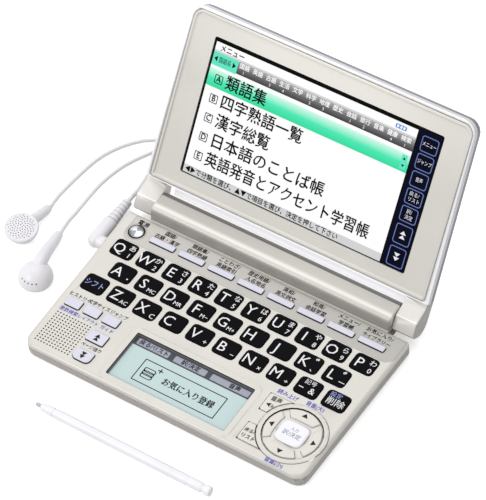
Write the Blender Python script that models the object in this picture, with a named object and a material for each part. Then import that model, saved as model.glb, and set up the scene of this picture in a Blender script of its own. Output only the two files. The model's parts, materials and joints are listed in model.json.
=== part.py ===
# Clamshell pocket electronic dictionary, open at 122.5 degrees, with its stylus and wired earphones.
#
# Frame: +X to the user's right, +Y from the front edge to the hinge, +Z up. The pieces are first placed
# with y = 0 at the front edge of the base and z = 0 on the table; a root empty then shifts them so that
# the origin is the middle of the underside. The lid's pieces are modelled in the lid's own frame: y runs
# up the lid from the hinge axis, z points out of its display side, and a pivot empty turns them.
import math

import bmesh
import bpy
from mathutils import Vector

MM = 0.001

# General fits
FIT_GAP = 0.3 * MM
OVERRUN = 1.0 * MM
WALL = 1.2 * MM

# Base slab
BASE_DEPTH = 87.2 * MM
BASE_FRONT_WIDTH = 146.4 * MM
BASE_REAR_WIDTH = 150.4 * MM
BASE_FRONT_CORNER = 5.5 * MM
BASE_REAR_CORNER = 1.6 * MM
FOOT_HEIGHT = 0.8 * MM
FOOT_DIAMETER = 7.0 * MM
FOOT_INSET = 9.0 * MM
UNDERSIDE_EDGE = 1.2 * MM
SEAM_HEIGHT = 6.0 * MM
DECK_HEIGHT = 8.6 * MM
DECK_EDGE = 1.5 * MM
POST_DIAMETER = 5.0 * MM

# Hinge and the barrel behind the keyboard that holds the batteries
HINGE_BEHIND_DECK = 9.6 * MM
HINGE_HEIGHT = 9.8 * MM
LID_ANGLE = math.radians(57.5)
BARREL_DRAFT = 0.7 * MM
BARREL_TOP_OVER_AXIS = 5.5 * MM
BARREL_REAR_OVER_AXIS = 5.6 * MM
BARREL_SHOULDER = 3.6 * MM
BARREL_REAR_ROUND = 5.4 * MM
BARREL_GROOVE_DEPTH = 0.6 * MM
BARREL_TONGUE = 2.4 * MM
BARREL_END_CHAMFER = 0.5 * MM
PIN_DIAMETER = 4.0 * MM
PIN_SEAT = 6.5 * MM
PIN_REACH = 7.0 * MM

# Batteries, two AAA cells end to end
CELL_DIAMETER = 10.5 * MM
CELL_LENGTH = 44.5 * MM
CELL_NUB_DIAMETER = 3.8 * MM
CELL_NUB_LENGTH = 0.8 * MM
CELL_EDGE = 0.5 * MM
CELL_AHEAD_OF_AXIS = 1.5 * MM
DOOR_THICKNESS = 1.2 * MM
DOOR_MARGIN = 1.6 * MM

# Lid
LID_TOP_INSET = 0.2 * MM
LID_THICKNESS = 7.0 * MM
LID_WALL = 1.2 * MM
LID_CORNER = 6.5 * MM
LID_FOOT_CORNER = 0.6 * MM
LID_BACK_EDGE = 1.8 * MM
LID_RIM_EDGE = 0.5 * MM
LID_FOOT_GAP = 0.4 * MM
FLANGE_FOOT = 4.25 * MM
FLANGE_NOTCH = 2.6 * MM
KNUCKLE_GAP = 0.4 * MM
KNUCKLE_WIDTH = 10.9 * MM
KNUCKLE_UNDER = 4.9 * MM
KNUCKLE_HEEL = 5.0 * MM
KNUCKLE_TOE = 1.5 * MM
KNUCKLE_THROAT = 7.6 * MM
KNUCKLE_STEP = 0.6 * MM
KNUCKLE_EDGE = 0.6 * MM
KNUCKLE_INSET = 0.4 * MM

# Display bezel in the lid
BEZEL_FOOT_RIM = 1.2 * MM
BEZEL_TOP_RIM = 1.9 * MM
BEZEL_FOOT_SIDE = 2.5 * MM
BEZEL_TOP_SIDE = 1.2 * MM
BEZEL_CORNER = 4.6 * MM
LIP_HEIGHT = 0.3 * MM
LIP_WIDTH = 1.1 * MM
LIP_EDGE = 0.3 * MM
LIP_SLOPE = 0.6 * MM
PANEL_DEPTH = 0.5 * MM
WINDOW_SIDE_BORDER = 13.85 * MM
WINDOW_FOOT_V = 18.8 * MM
WINDOW_TOP_BORDER = 11.6 * MM
WINDOW_MIDDLE_X = 0.35 * MM
WINDOW_CORNER = 0.6 * MM
WINDOW_DEPTH = 0.9 * MM

# Keys
ROW_KEYS = 10
ROW_COUNT = 3
KEY_FIELD_MARGIN = 2.36 * MM
KEY_FIELD_FRONT = 38.25 * MM
KEY_COLUMN_GAP = 2.868 * MM
KEY_ROW_GAP = 2.4 * MM
KEY_CORNER = 1.6 * MM
KEYS_MIDDLE_X = 0.32 * MM
KEY_RISE = 0.45 * MM
KEY_CROWN = 0.25 * MM
KEY_FLANGE = 0.8 * MM
KEY_FLANGE_THICKNESS = 0.8 * MM
KEY_TRAVEL = 0.6 * MM
BOARD_THICKNESS = 2.0 * MM
SMALL_KEY_RISE = 0.85 * MM
SMALL_KEY_CORNER = 0.5 * MM

FUNCTION_COUNT = 8
FUNCTION_DEPTH = 3.0 * MM
FUNCTION_GAP = 2.67 * MM
FUNCTION_FIRST_INSET = 23.3 * MM
FUNCTION_LAST_INSET = 12.01 * MM
FUNCTION_REAR_INSET = 9.8 * MM
FUNCTION_ROW_GAP = 4.95 * MM

MENU_COUNT = 3
MENU_WIDTH = 7.9 * MM
MENU_DEPTH = 5.0 * MM
MENU_PITCH = 10.15 * MM
MENU_SIDE_INSET = 7.8 * MM
MENU_Y = 29.2 * MM

PAGE_SIDE_INSET = 28.1 * MM
PAGE_UP_Y = 18.15 * MM
PAGE_DOWN_Y = 6.8 * MM
PAGE_WIDTH = 9.2 * MM
PAGE_DEPTH = 6.1 * MM
PAGE_ROUND = 2.4 * MM

POWER_SIDE_INSET = 8.7 * MM
POWER_REAR_INSET = 9.3 * MM
POWER_DIAMETER = 7.0 * MM
POWER_RISE = 0.85 * MM

# Cursor pad
PAD_SIDE_INSET = 16.2 * MM
PAD_Y = 18.5 * MM
PAD_RING_OUTER = 15.8 * MM
PAD_RING_INNER = 13.8 * MM
PAD_RING_RISE = 0.35 * MM
PAD_DISH_DEPTH = 0.3 * MM
CRESCENT_RISE = 0.8 * MM
CRESCENT_HALF_ANGLE = math.radians(37.0)
CRESCENT_INNER_WIDTH = 8.3 * MM
CRESCENT_INNER_DEPTH = 7.5 * MM
CRESCENT_OUTER_GAP = 0.5 * MM
ENTER_WIDTH = 12.6 * MM
ENTER_DEPTH = 11.0 * MM
ENTER_RISE = 0.85 * MM
ENTER_BULGE_SHARE = 4.5
SIDE_KEY_REACH = 19.7 * MM
SIDE_KEY_NEAR = 4.1 * MM
SIDE_KEY_FAR = 13.9 * MM
SIDE_KEY_RING_GAP = 0.55 * MM

# Handwriting panel in front of the keys
SUB_PAGE_GAP = 6.45 * MM
SUB_PAD_GAP = 3.85 * MM
SUB_WINDOW_DEPTH = 25.9 * MM
SUB_Y = 17.2 * MM
SUB_FRAME_WIDTH = 2.7 * MM
SUB_FRAME_RISE = 0.35 * MM
SUB_FRAME_CORNER = 3.0 * MM
SUB_WINDOW_CORNER = 0.5 * MM
SUB_MARGIN = 1.4 * MM
SUB_THICKNESS = 1.4 * MM

# Speaker and earphone jack
SPEAKER_SIDE_INSET = 12.45 * MM
SPEAKER_Y = 13.4 * MM
SPEAKER_DIAMETER = 16.0 * MM
SPEAKER_DEPTH = 3.4 * MM
SPEAKER_MAGNET_DIAMETER = 10.0 * MM
JACK_BEHIND_ROW = 1.2 * MM
JACK_WIDTH = 6.6 * MM
JACK_LENGTH = 12.5 * MM
JACK_PIN_DIAMETER = 2.5 * MM
JACK_PIN_LENGTH = 11.0 * MM
JACK_BORE_PLAY = 0.2 * MM

# Earphones
PLUG_DIAMETER = 6.5 * MM
PLUG_ARM_DIAMETER = 5.6 * MM
PLUG_STAND_OFF = 5.4 * MM
PLUG_HEEL = 3.5 * MM
PLUG_BODY = 17.0 * MM
PLUG_RELIEF = 12.5 * MM
PLUG_RIBS = 6
PLUG_RIB_DEPTH = 0.35 * MM
MAIN_LEAD_DIAMETER = 2.2 * MM
BRANCH_DIAMETER = 1.7 * MM
BUD_DIAMETER = 15.3 * MM
BUD_HEIGHT = 8.6 * MM
STEM_DIAMETER = 4.8 * MM
STEM_TIP_DIAMETER = 3.9 * MM
LEFT_BUD_FROM_PLUG = 32.0 * MM
LEFT_BUD_BEFORE_JACK = 15.0 * MM
LEFT_STEM_FROM_PLUG = 30.6 * MM
LEFT_STEM_BEHIND_JACK = 5.5 * MM
RIGHT_BUD_FROM_PLUG = 10.4 * MM
RIGHT_BUD_BEFORE_JACK = 33.0 * MM
RIGHT_STEM_FROM_PLUG = 17.4 * MM
RIGHT_STEM_BEFORE_JACK = 5.0 * MM

# Coil of the earphone lead behind the dictionary
COIL_X = 0.0 * MM
COIL_Y = 151.0 * MM
COIL_TURNS = 4
COIL_OUTER_RADIUS = 16.4 * MM
COIL_SPACING = 2.75 * MM
COIL_STEP_COUNT = 24
COIL_LEAD_OUT = 12.0 * MM
SPLITTER_LENGTH = 14.0 * MM
SPLITTER_WIDTH = 6.0 * MM
SPLITTER_HEIGHT = 3.6 * MM

# Stylus lying in front
STYLUS_LENGTH = 92.0 * MM
STYLUS_DIAMETER = 4.8 * MM
STYLUS_NIB_X = -51.2 * MM
STYLUS_Y = -21.6 * MM
STYLUS_TIP_DIAMETER = 1.2 * MM
STYLUS_NIB_LENGTH = 6.0 * MM
STYLUS_NECK_DIAMETER = 3.0 * MM
STYLUS_CAP_LENGTH = 7.0 * MM
STYLUS_FLARE = 0.5 * MM

# The hinge, the barrel between its two knuckles, and the lid that shuts flush with the base
HINGE_Y = BASE_DEPTH + HINGE_BEHIND_DECK
BARREL_FRONT_Y = BASE_DEPTH + FIT_GAP
BARREL_WIDTH = BASE_REAR_WIDTH - 2 * (KNUCKLE_GAP + KNUCKLE_WIDTH + KNUCKLE_INSET)
LID_TOP = HINGE_Y
LID_HINGE_WIDTH = BASE_REAR_WIDTH
LID_TOP_WIDTH = BASE_FRONT_WIDTH - 2 * LID_TOP_INSET
BEZEL_FOOT_WIDTH = LID_HINGE_WIDTH - 2 * BEZEL_FOOT_SIDE
BEZEL_TOP_WIDTH = LID_TOP_WIDTH - 2 * BEZEL_TOP_SIDE
WINDOW_WIDTH = min(LID_HINGE_WIDTH, LID_TOP_WIDTH) - 2 * WINDOW_SIDE_BORDER
WINDOW_HEIGHT = LID_TOP - WINDOW_TOP_BORDER - WINDOW_FOOT_V
WINDOW_MIDDLE_V = WINDOW_FOOT_V + WINDOW_HEIGHT / 2

# The key field fills the deck between its sides, the front pieces and the function keys
NARROW_HALF = min(BASE_FRONT_WIDTH, BASE_REAR_WIDTH) / 2
WIDE_HALF = max(BASE_FRONT_WIDTH, BASE_REAR_WIDTH) / 2
FUNCTION_Y = BASE_DEPTH - FUNCTION_REAR_INSET
FUNCTION_FIRST_X = FUNCTION_FIRST_INSET - NARROW_HALF
FUNCTION_PITCH = (2 * NARROW_HALF - FUNCTION_FIRST_INSET - FUNCTION_LAST_INSET) / (
    FUNCTION_COUNT - 1
)
FUNCTION_WIDTH = FUNCTION_PITCH - FUNCTION_GAP
KEY_FIELD_REAR = FUNCTION_Y - FUNCTION_DEPTH / 2 - FUNCTION_ROW_GAP
KEY_PITCH = 2 * (NARROW_HALF - KEY_FIELD_MARGIN) / ROW_KEYS
KEY_WIDTH = KEY_PITCH - KEY_COLUMN_GAP
KEY_DEPTH = (KEY_FIELD_REAR - KEY_FIELD_FRONT + KEY_ROW_GAP) / ROW_COUNT - KEY_ROW_GAP
ROW_PITCH = KEY_DEPTH + KEY_ROW_GAP
TOP_ROW_Y = KEY_FIELD_REAR - KEY_DEPTH / 2
POWER_X = POWER_SIDE_INSET - NARROW_HALF
POWER_Y = BASE_DEPTH - POWER_REAR_INSET
MENU_FIRST_X = MENU_SIDE_INSET - NARROW_HALF
PAGE_X = PAGE_SIDE_INSET - NARROW_HALF
PAD_X = NARROW_HALF - PAD_SIDE_INSET
SIDE_KEY_X = PAD_X - SIDE_KEY_REACH
SPEAKER_X = SPEAKER_SIDE_INSET - NARROW_HALF
SUB_LEFT = PAGE_X + PAGE_WIDTH / 2 + SUB_PAGE_GAP
SUB_RIGHT = SIDE_KEY_X - SUB_PAD_GAP
SUB_WINDOW_WIDTH = SUB_RIGHT - SUB_LEFT - 2 * SUB_FRAME_WIDTH
SUB_X = (SUB_LEFT + SUB_RIGHT) / 2

# The jack beside the top row of keys, and the plug that stands off the base's side
JACK_Y = TOP_ROW_Y + JACK_BEHIND_ROW
PLUG_AXIS_X = -WIDE_HALF - PLUG_STAND_OFF
PLUG_HEEL_Y = JACK_Y - PLUG_HEEL
PLUG_BODY_END_Y = JACK_Y + PLUG_BODY
PLUG_RELIEF_END_Y = PLUG_BODY_END_Y + PLUG_RELIEF

# Heights and places that follow from the sizes above
CASE_BOTTOM = FOOT_HEIGHT
CASE_FLOOR = CASE_BOTTOM + WALL
DECK_UNDER = DECK_HEIGHT - WALL
FLANGE_TOP = DECK_UNDER - FIT_GAP
FLANGE_BOTTOM = FLANGE_TOP - KEY_FLANGE_THICKNESS
BOARD_TOP = FLANGE_BOTTOM - KEY_TRAVEL - FIT_GAP
BOARD_BOTTOM = BOARD_TOP - BOARD_THICKNESS
BARREL_TOP = HINGE_HEIGHT + BARREL_TOP_OVER_AXIS
BARREL_REAR_Y = HINGE_Y + BARREL_REAR_OVER_AXIS
CELL_Y = HINGE_Y - CELL_AHEAD_OF_AXIS
CELL_HEIGHT = CASE_BOTTOM + DOOR_THICKNESS + FIT_GAP + CELL_DIAMETER / 2
BAY_RADIUS = CELL_DIAMETER / 2 + FIT_GAP
BAY_LENGTH = 2 * CELL_LENGTH + 3 * FIT_GAP
LID_FOOT = HINGE_Y - BARREL_FRONT_Y + LID_FOOT_GAP
JACK_BOTTOM = CASE_FLOOR + FIT_GAP
JACK_AXIS_Z = (JACK_BOTTOM + BOARD_TOP) / 2


# Removes the startup scene's objects.
for old in list(bpy.data.objects):
    bpy.data.objects.remove(old, do_unlink=True)


def material(name, colour, roughness, metallic=0.0):
    """A Principled material with one colour."""
    made = bpy.data.materials.new(name)
    made.use_nodes = True
    shader = made.node_tree.nodes["Principled BSDF"]
    shader.inputs["Base Color"].default_value = (*colour, 1.0)
    shader.inputs["Roughness"].default_value = roughness
    shader.inputs["Metallic"].default_value = metallic
    return made


CHAMPAGNE = material("champagne_deck", (0.60, 0.58, 0.54), 0.38, 0.15)
LAVENDER = material("lavender_cover", (0.66, 0.65, 0.72), 0.30)
GREY_CASE = material("grey_lower_case", (0.36, 0.35, 0.34), 0.45)
BEZEL_PAINT = material("champagne_bezel", (0.66, 0.64, 0.60), 0.40, 0.10)
KEY_BLACK = material("black_key", (0.010, 0.010, 0.014), 0.35)
KEY_LAVENDER = material("lavender_key", (0.70, 0.69, 0.80), 0.30)
PAD_PAINT = material("champagne_pad", (0.66, 0.63, 0.58), 0.38)
ENTER_WHITE = material("white_key", (0.80, 0.79, 0.88), 0.28)
CHROME = material("chrome_button", (0.72, 0.73, 0.75), 0.12, 1.0)
GLASS = material("display_glass", (0.02, 0.02, 0.03), 0.10)
PANEL_GLASS = material("panel_glass", (0.55, 0.68, 0.70), 0.20)
BOARD_GREEN = material("key_board", (0.03, 0.16, 0.07), 0.60)
DARK_METAL = material("speaker_metal", (0.10, 0.10, 0.11), 0.45, 0.6)
JACK_BLACK = material("jack_plastic", (0.03, 0.03, 0.03), 0.50)
STEEL = material("hinge_steel", (0.55, 0.55, 0.56), 0.30, 1.0)
CELL_WRAP = material("cell_wrap", (0.30, 0.32, 0.36), 0.35, 0.4)
EAR_WHITE = material("earphone_white", (0.82, 0.80, 0.83), 0.35)
CORD_WHITE = material("lead_white", (0.80, 0.79, 0.80), 0.50)
STYLUS_PAINT = material("stylus_champagne", (0.58, 0.56, 0.52), 0.35, 0.2)

root = bpy.data.objects.new("dictionary_root", None)
bpy.context.scene.collection.objects.link(root)
lid_pivot = bpy.data.objects.new("lid_pivot", None)
bpy.context.scene.collection.objects.link(lid_pivot)
lid_pivot.parent = root
lid_pivot.location = (0.0, HINGE_Y, HINGE_HEIGHT)
lid_pivot.rotation_euler = (LID_ANGLE, 0.0, 0.0)


def rounded(corners, steps):
    """The outline through corners (x, y, radius), each rounded by an arc of that radius."""
    points = []
    for index, (x, y, radius) in enumerate(corners):
        here = Vector((x, y))
        before = Vector(corners[index - 1][:2]) - here
        after = Vector(corners[(index + 1) % len(corners)][:2]) - here
        if radius <= 0.0:
            points.append(here)
            continue
        before.normalize()
        after.normalize()
        half = before.angle(after) / 2
        centre = here + (before + after).normalized() * (radius / math.sin(half))
        start = here + before * (radius / math.tan(half)) - centre
        turn = math.pi - 2 * half
        side = 1.0 if before.x * after.y - before.y * after.x < 0 else -1.0
        for step in range(steps + 1):
            angle = side * turn * step / steps
            spun = Vector(
                (
                    start.x * math.cos(angle) - start.y * math.sin(angle),
                    start.x * math.sin(angle) + start.y * math.cos(angle),
                )
            )
            points.append(centre + spun)
    return points


def box_corners(x0, x1, y0, y1, radius):
    return [(x0, y0, radius), (x1, y0, radius), (x1, y1, radius), (x0, y1, radius)]


def placed(outline, height):
    """A flat outline as a ring of points at one height."""
    return [Vector((point[0], point[1], height)) for point in outline]


def across(profile, x):
    """A (y, z) profile as a ring of points at one x."""
    return [Vector((x, point[0], point[1])) for point in profile]


def loft(rings, into=None):
    """A closed solid through rings of equally many points, capped at both ends."""
    mesh = into or bmesh.new()
    loops = [[mesh.verts.new(point) for point in ring] for ring in rings]
    count = len(loops[0])
    made = [mesh.faces.new(loops[0]), mesh.faces.new(loops[-1])]
    for low, high in zip(loops, loops[1:]):
        for index in range(count):
            after = (index + 1) % count
            made.append(mesh.faces.new((low[index], low[after], high[after], high[index])))
    bmesh.ops.recalc_face_normals(mesh, faces=made)
    return mesh


def turned(profile, sides, into=None):
    """A solid of revolution about Z from (radius, height) points; a zero radius closes an end."""
    mesh = into or bmesh.new()
    loops = []
    for radius, height in profile:
        if radius <= 0.0:
            loops.append([mesh.verts.new((0.0, 0.0, height))])
            continue
        loops.append(
            [
                mesh.verts.new(
                    (
                        radius * math.cos(math.tau * index / sides),
                        radius * math.sin(math.tau * index / sides),
                        height,
                    )
                )
                for index in range(sides)
            ]
        )
    made = []
    for low, high in zip(loops, loops[1:]):
        for index in range(sides):
            after = (index + 1) % sides
            if len(low) == 1:
                made.append(mesh.faces.new((low[0], high[after], high[index])))
            elif len(high) == 1:
                made.append(mesh.faces.new((low[index], low[after], high[0])))
            else:
                made.append(mesh.faces.new((low[index], low[after], high[after], high[index])))
    for end in (loops[0], loops[-1]):
        if len(end) > 1:
            made.append(mesh.faces.new(end))
    bmesh.ops.recalc_face_normals(mesh, faces=made)
    return mesh


def ring_band(outer, inner, low, high, sides):
    """A flat ring: a band between two radii and two heights."""
    mesh = bmesh.new()
    loops = []
    for radius, height in ((outer, low), (outer, high), (inner, high), (inner, low)):
        loops.append(
            [
                mesh.verts.new(
                    (
                        radius * math.cos(math.tau * index / sides),
                        radius * math.sin(math.tau * index / sides),
                        height,
                    )
                )
                for index in range(sides)
            ]
        )
    for first, second in zip(loops, loops[1:] + loops[:1]):
        for index in range(sides):
            after = (index + 1) % sides
            mesh.faces.new((first[index], first[after], second[after], second[index]))
    bmesh.ops.recalc_face_normals(mesh, faces=mesh.faces[:])
    return mesh


def piece(name, mesh, look, parent=root, location=(0.0, 0.0, 0.0), rotation=(0.0, 0.0, 0.0)):
    """Makes an object of a mesh, shaded smooth below 35 degrees."""
    data = bpy.data.meshes.new(name)
    mesh.to_mesh(data)
    mesh.free()
    data.materials.append(look)
    data.shade_smooth()
    data.set_sharp_from_angle(angle=math.radians(35.0))
    made = bpy.data.objects.new(name, data)
    bpy.context.scene.collection.objects.link(made)
    made.parent = parent
    made.location = location
    made.rotation_euler = rotation
    return made


def helper(name, mesh, parent=root, location=(0.0, 0.0, 0.0), rotation=(0.0, 0.0, 0.0)):
    """An object that only cuts or joins, left out of the model."""
    made = piece(name, mesh, GREY_CASE, parent, location, rotation)
    made.hide_render = True
    made.display_type = "WIRE"
    return made


def combine(target, other, operation):
    """A Boolean modifier on target, with the exact solver."""
    step = target.modifiers.new(operation.lower() + "_" + other.name, "BOOLEAN")
    step.operation = operation
    step.solver = "EXACT"
    step.object = other


def shifted(mesh, offset):
    bmesh.ops.translate(mesh, verts=mesh.verts[:], vec=offset)
    return mesh


# Outline of the base slab in plan, a little wider at the hinge, drawn in by an inset.
def base_outline(inset, steps=4):
    front = BASE_FRONT_WIDTH / 2 - inset
    rear = BASE_REAR_WIDTH / 2 - inset
    front_round = max(BASE_FRONT_CORNER - inset, inset)
    rear_round = max(BASE_REAR_CORNER - inset, UNDERSIDE_EDGE / 4)
    return rounded(
        [
            (-front, inset, front_round),
            (front, inset, front_round),
            (rear, BASE_DEPTH - inset, rear_round),
            (-rear, BASE_DEPTH - inset, rear_round),
        ],
        steps,
    )


# Half-width of the slab at a distance from its front edge.
def base_half_width(y):
    return (BASE_FRONT_WIDTH + (BASE_REAR_WIDTH - BASE_FRONT_WIDTH) * y / BASE_DEPTH) / 2


# Top case: the keyboard deck and the upper half of the battery barrel, one moulding.
EDGE_STEPS = 3
deck_rings = [placed(base_outline(0.0), SEAM_HEIGHT)]
for step in range(EDGE_STEPS + 1):
    turn = math.pi / 2 * step / EDGE_STEPS
    deck_rings.append(
        placed(
            base_outline(DECK_EDGE * (1 - math.cos(turn))),
            DECK_HEIGHT - DECK_EDGE * (1 - math.sin(turn)),
        )
    )
top_case = piece("top_case", loft(deck_rings), CHAMPAGNE)


def barrel_profile(inset):
    """Section of the barrel's upper half, with the tongue that runs under the deck."""
    front = BARREL_FRONT_Y + inset
    rear = BARREL_REAR_Y - inset
    top = BARREL_TOP - inset
    step = DECK_HEIGHT - BARREL_GROOVE_DEPTH
    return rounded(
        [
            (BARREL_FRONT_Y - BARREL_TONGUE, SEAM_HEIGHT, 0.0),
            (rear, SEAM_HEIGHT, 0.0),
            (rear, top, BARREL_REAR_ROUND - inset),
            (front + BARREL_DRAFT, top, BARREL_SHOULDER - inset),
            (front, step, 0.0),
            (BARREL_FRONT_Y - BARREL_TONGUE, step, 0.0),
        ],
        6,
    )


barrel_end = BARREL_WIDTH / 2
barrel = helper(
    "barrel_form",
    loft(
        [
            across(barrel_profile(BARREL_END_CHAMFER), -barrel_end),
            across(barrel_profile(0.0), -barrel_end + BARREL_END_CHAMFER),
            across(barrel_profile(0.0), barrel_end - BARREL_END_CHAMFER),
            across(barrel_profile(BARREL_END_CHAMFER), barrel_end),
        ]
    ),
)
combine(top_case, barrel, "UNION")

# Raised frame round the handwriting panel.
frame_half_x = SUB_WINDOW_WIDTH / 2 + SUB_FRAME_WIDTH
frame_half_y = SUB_WINDOW_DEPTH / 2 + SUB_FRAME_WIDTH
frame_rings = []
for grow, height in (
    (SUB_FRAME_RISE, DECK_HEIGHT - OVERRUN / 2),
    (SUB_FRAME_RISE, DECK_HEIGHT),
    (0.0, DECK_HEIGHT + SUB_FRAME_RISE),
):
    frame_rings.append(
        placed(
            rounded(
                box_corners(
                    SUB_X - frame_half_x - grow,
                    SUB_X + frame_half_x + grow,
                    SUB_Y - frame_half_y - grow,
                    SUB_Y + frame_half_y + grow,
                    SUB_FRAME_CORNER + grow,
                ),
                4,
            ),
            height,
        )
    )
sub_frame = helper("sub_frame_form", loft(frame_rings))
combine(top_case, sub_frame, "UNION")

# Raised ring round the cursor pad.
PAD_SIDES = 32
pad_ring = helper(
    "pad_ring_form",
    ring_band(
        PAD_RING_OUTER,
        PAD_RING_INNER,
        DECK_HEIGHT - OVERRUN / 2,
        DECK_HEIGHT + PAD_RING_RISE,
        PAD_SIDES,
    ),
    location=(PAD_X, PAD_Y, 0.0),
)
combine(top_case, pad_ring, "UNION")

# The hollow under the deck, and the arched bay over the two cells.
deck_hollow = helper(
    "deck_hollow",
    loft([placed(base_outline(WALL), SEAM_HEIGHT - OVERRUN), placed(base_outline(WALL), DECK_UNDER)]),
)
combine(top_case, deck_hollow, "DIFFERENCE")

BAY_STEPS = 10
bay_arch = [(CELL_Y - BAY_RADIUS, SEAM_HEIGHT - OVERRUN)]
for step in range(BAY_STEPS + 1):
    turn = math.pi - math.pi * step / BAY_STEPS
    bay_arch.append((CELL_Y + BAY_RADIUS * math.cos(turn), CELL_HEIGHT + BAY_RADIUS * math.sin(turn)))
bay_arch.append((CELL_Y + BAY_RADIUS, SEAM_HEIGHT - OVERRUN))
bay_top = helper(
    "bay_arch_form",
    loft([across(bay_arch, -BAY_LENGTH / 2), across(bay_arch, BAY_LENGTH / 2)]),
)
combine(top_case, bay_top, "DIFFERENCE")


# Key outlines. Each key is a cap over a wider flange that stays below the deck.
def key_corners(x, y, width, depth, corner, grow=0.0):
    return box_corners(
        x - width / 2 - grow,
        x + width / 2 + grow,
        y - depth / 2 - grow,
        y + depth / 2 + grow,
        corner + grow,
    )


def enter_outline(grow):
    """A square with bulging sides, as a superellipse."""
    points = []
    for index in range(24):
        angle = math.tau * index / 24
        cosine = math.cos(angle)
        sine = math.sin(angle)
        size = (abs(cosine) ** ENTER_BULGE_SHARE + abs(sine) ** ENTER_BULGE_SHARE) ** (
            -1 / ENTER_BULGE_SHARE
        )
        points.append(
            Vector(
                (
                    (ENTER_WIDTH / 2 + grow) * size * cosine,
                    (ENTER_DEPTH / 2 + grow) * size * sine,
                )
            )
        )
    return points


def side_key_outline(upward, grow):
    """A rectangle beside the pad whose inner end follows the pad's ring."""
    reach = PAD_RING_OUTER + SIDE_KEY_RING_GAP - grow
    near = SIDE_KEY_NEAR - grow
    far = SIDE_KEY_FAR + grow
    points = [Vector((SIDE_KEY_X - grow, PAD_Y + upward * far))]
    points.append(Vector((SIDE_KEY_X - grow, PAD_Y + upward * near)))
    first = math.asin(near / reach)
    last = math.asin(far / reach)
    for step in range(6):
        angle = first + (last - first) * step / 5
        points.append(
            Vector((PAD_X - reach * math.cos(angle), PAD_Y + upward * reach * math.sin(angle)))
        )
    return points


LETTER_ROWS = (
    (("q", "w", "e", "r", "t", "y", "u", "i", "o", "p"), 0),
    (("a", "s", "d", "f", "g", "h", "j", "k", "l"), 1),
    (("shift", "z", "x", "c", "v", "b", "n", "m", "minus", "delete"), 2),
)
letter_places = []
for names, row in LETTER_ROWS:
    for index, name in enumerate(names):
        letter_places.append(
            (
                "key_" + name,
                KEYS_MIDDLE_X + (index - (len(names) - 1) / 2) * KEY_PITCH,
                TOP_ROW_Y - row * ROW_PITCH,
            )
        )
function_places = [(FUNCTION_FIRST_X + index * FUNCTION_PITCH, FUNCTION_Y) for index in range(FUNCTION_COUNT)]
menu_places = [(MENU_FIRST_X + index * MENU_PITCH, MENU_Y) for index in range(MENU_COUNT)]
page_places = [(PAGE_X, PAGE_UP_Y, SMALL_KEY_CORNER), (PAGE_X, PAGE_DOWN_Y, PAGE_ROUND)]


def page_corners(x, y, front_round, grow=0.0):
    corners = key_corners(x, y, PAGE_WIDTH, PAGE_DEPTH, SMALL_KEY_CORNER, grow)
    left, right = corners[0], corners[1]
    return [
        (left[0], left[1], front_round + grow),
        (right[0], right[1], front_round + grow),
        corners[2],
        corners[3],
    ]


# One cutter holds every key hole; the holes keep the fit gap all round their keys.
hole_bottom = DECK_UNDER - OVERRUN
hole_top = DECK_HEIGHT + OVERRUN
holes = bmesh.new()
for name, x, y in letter_places:
    outline = rounded(key_corners(x, y, KEY_WIDTH, KEY_DEPTH, KEY_CORNER, FIT_GAP), 2)
    loft([placed(outline, hole_bottom), placed(outline, hole_top)], holes)
for x, y in function_places:
    outline = rounded(key_corners(x, y, FUNCTION_WIDTH, FUNCTION_DEPTH, SMALL_KEY_CORNER, FIT_GAP), 1)
    loft([placed(outline, hole_bottom), placed(outline, hole_top)], holes)
for x, y in menu_places:
    outline = rounded(key_corners(x, y, MENU_WIDTH, MENU_DEPTH, SMALL_KEY_CORNER, FIT_GAP), 1)
    loft([placed(outline, hole_bottom), placed(outline, hole_top)], holes)
for x, y, front_round in page_places:
    outline = rounded(page_corners(x, y, front_round, FIT_GAP), 3)
    loft([placed(outline, hole_bottom), placed(outline, hole_top)], holes)
for upward in (1, -1):
    outline = side_key_outline(upward, FIT_GAP)
    loft([placed(outline, hole_bottom), placed(outline, hole_top)], holes)
key_holes = helper("key_holes", holes)
combine(top_case, key_holes, "DIFFERENCE")

power_hole = turned(
    [
        (POWER_DIAMETER / 2 + FIT_GAP, hole_bottom),
        (POWER_DIAMETER / 2 + FIT_GAP, hole_top),
    ],
    20,
)
combine(
    top_case,
    helper("power_hole", power_hole, location=(POWER_X, POWER_Y, 0.0)),
    "DIFFERENCE",
)
pad_radius = PAD_RING_INNER - FIT_GAP
pad_hole = turned([(PAD_RING_INNER, hole_bottom), (PAD_RING_INNER, hole_top)], PAD_SIDES)
combine(top_case, helper("pad_hole", pad_hole, location=(PAD_X, PAD_Y, 0.0)), "DIFFERENCE")
sub_window = rounded(
    box_corners(
        SUB_X - SUB_WINDOW_WIDTH / 2,
        SUB_X + SUB_WINDOW_WIDTH / 2,
        SUB_Y - SUB_WINDOW_DEPTH / 2,
        SUB_Y + SUB_WINDOW_DEPTH / 2,
        SUB_WINDOW_CORNER,
    ),
    1,
)
sub_hole = loft([placed(sub_window, hole_bottom), placed(sub_window, hole_top)])
combine(top_case, helper("sub_hole", sub_hole), "DIFFERENCE")

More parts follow.
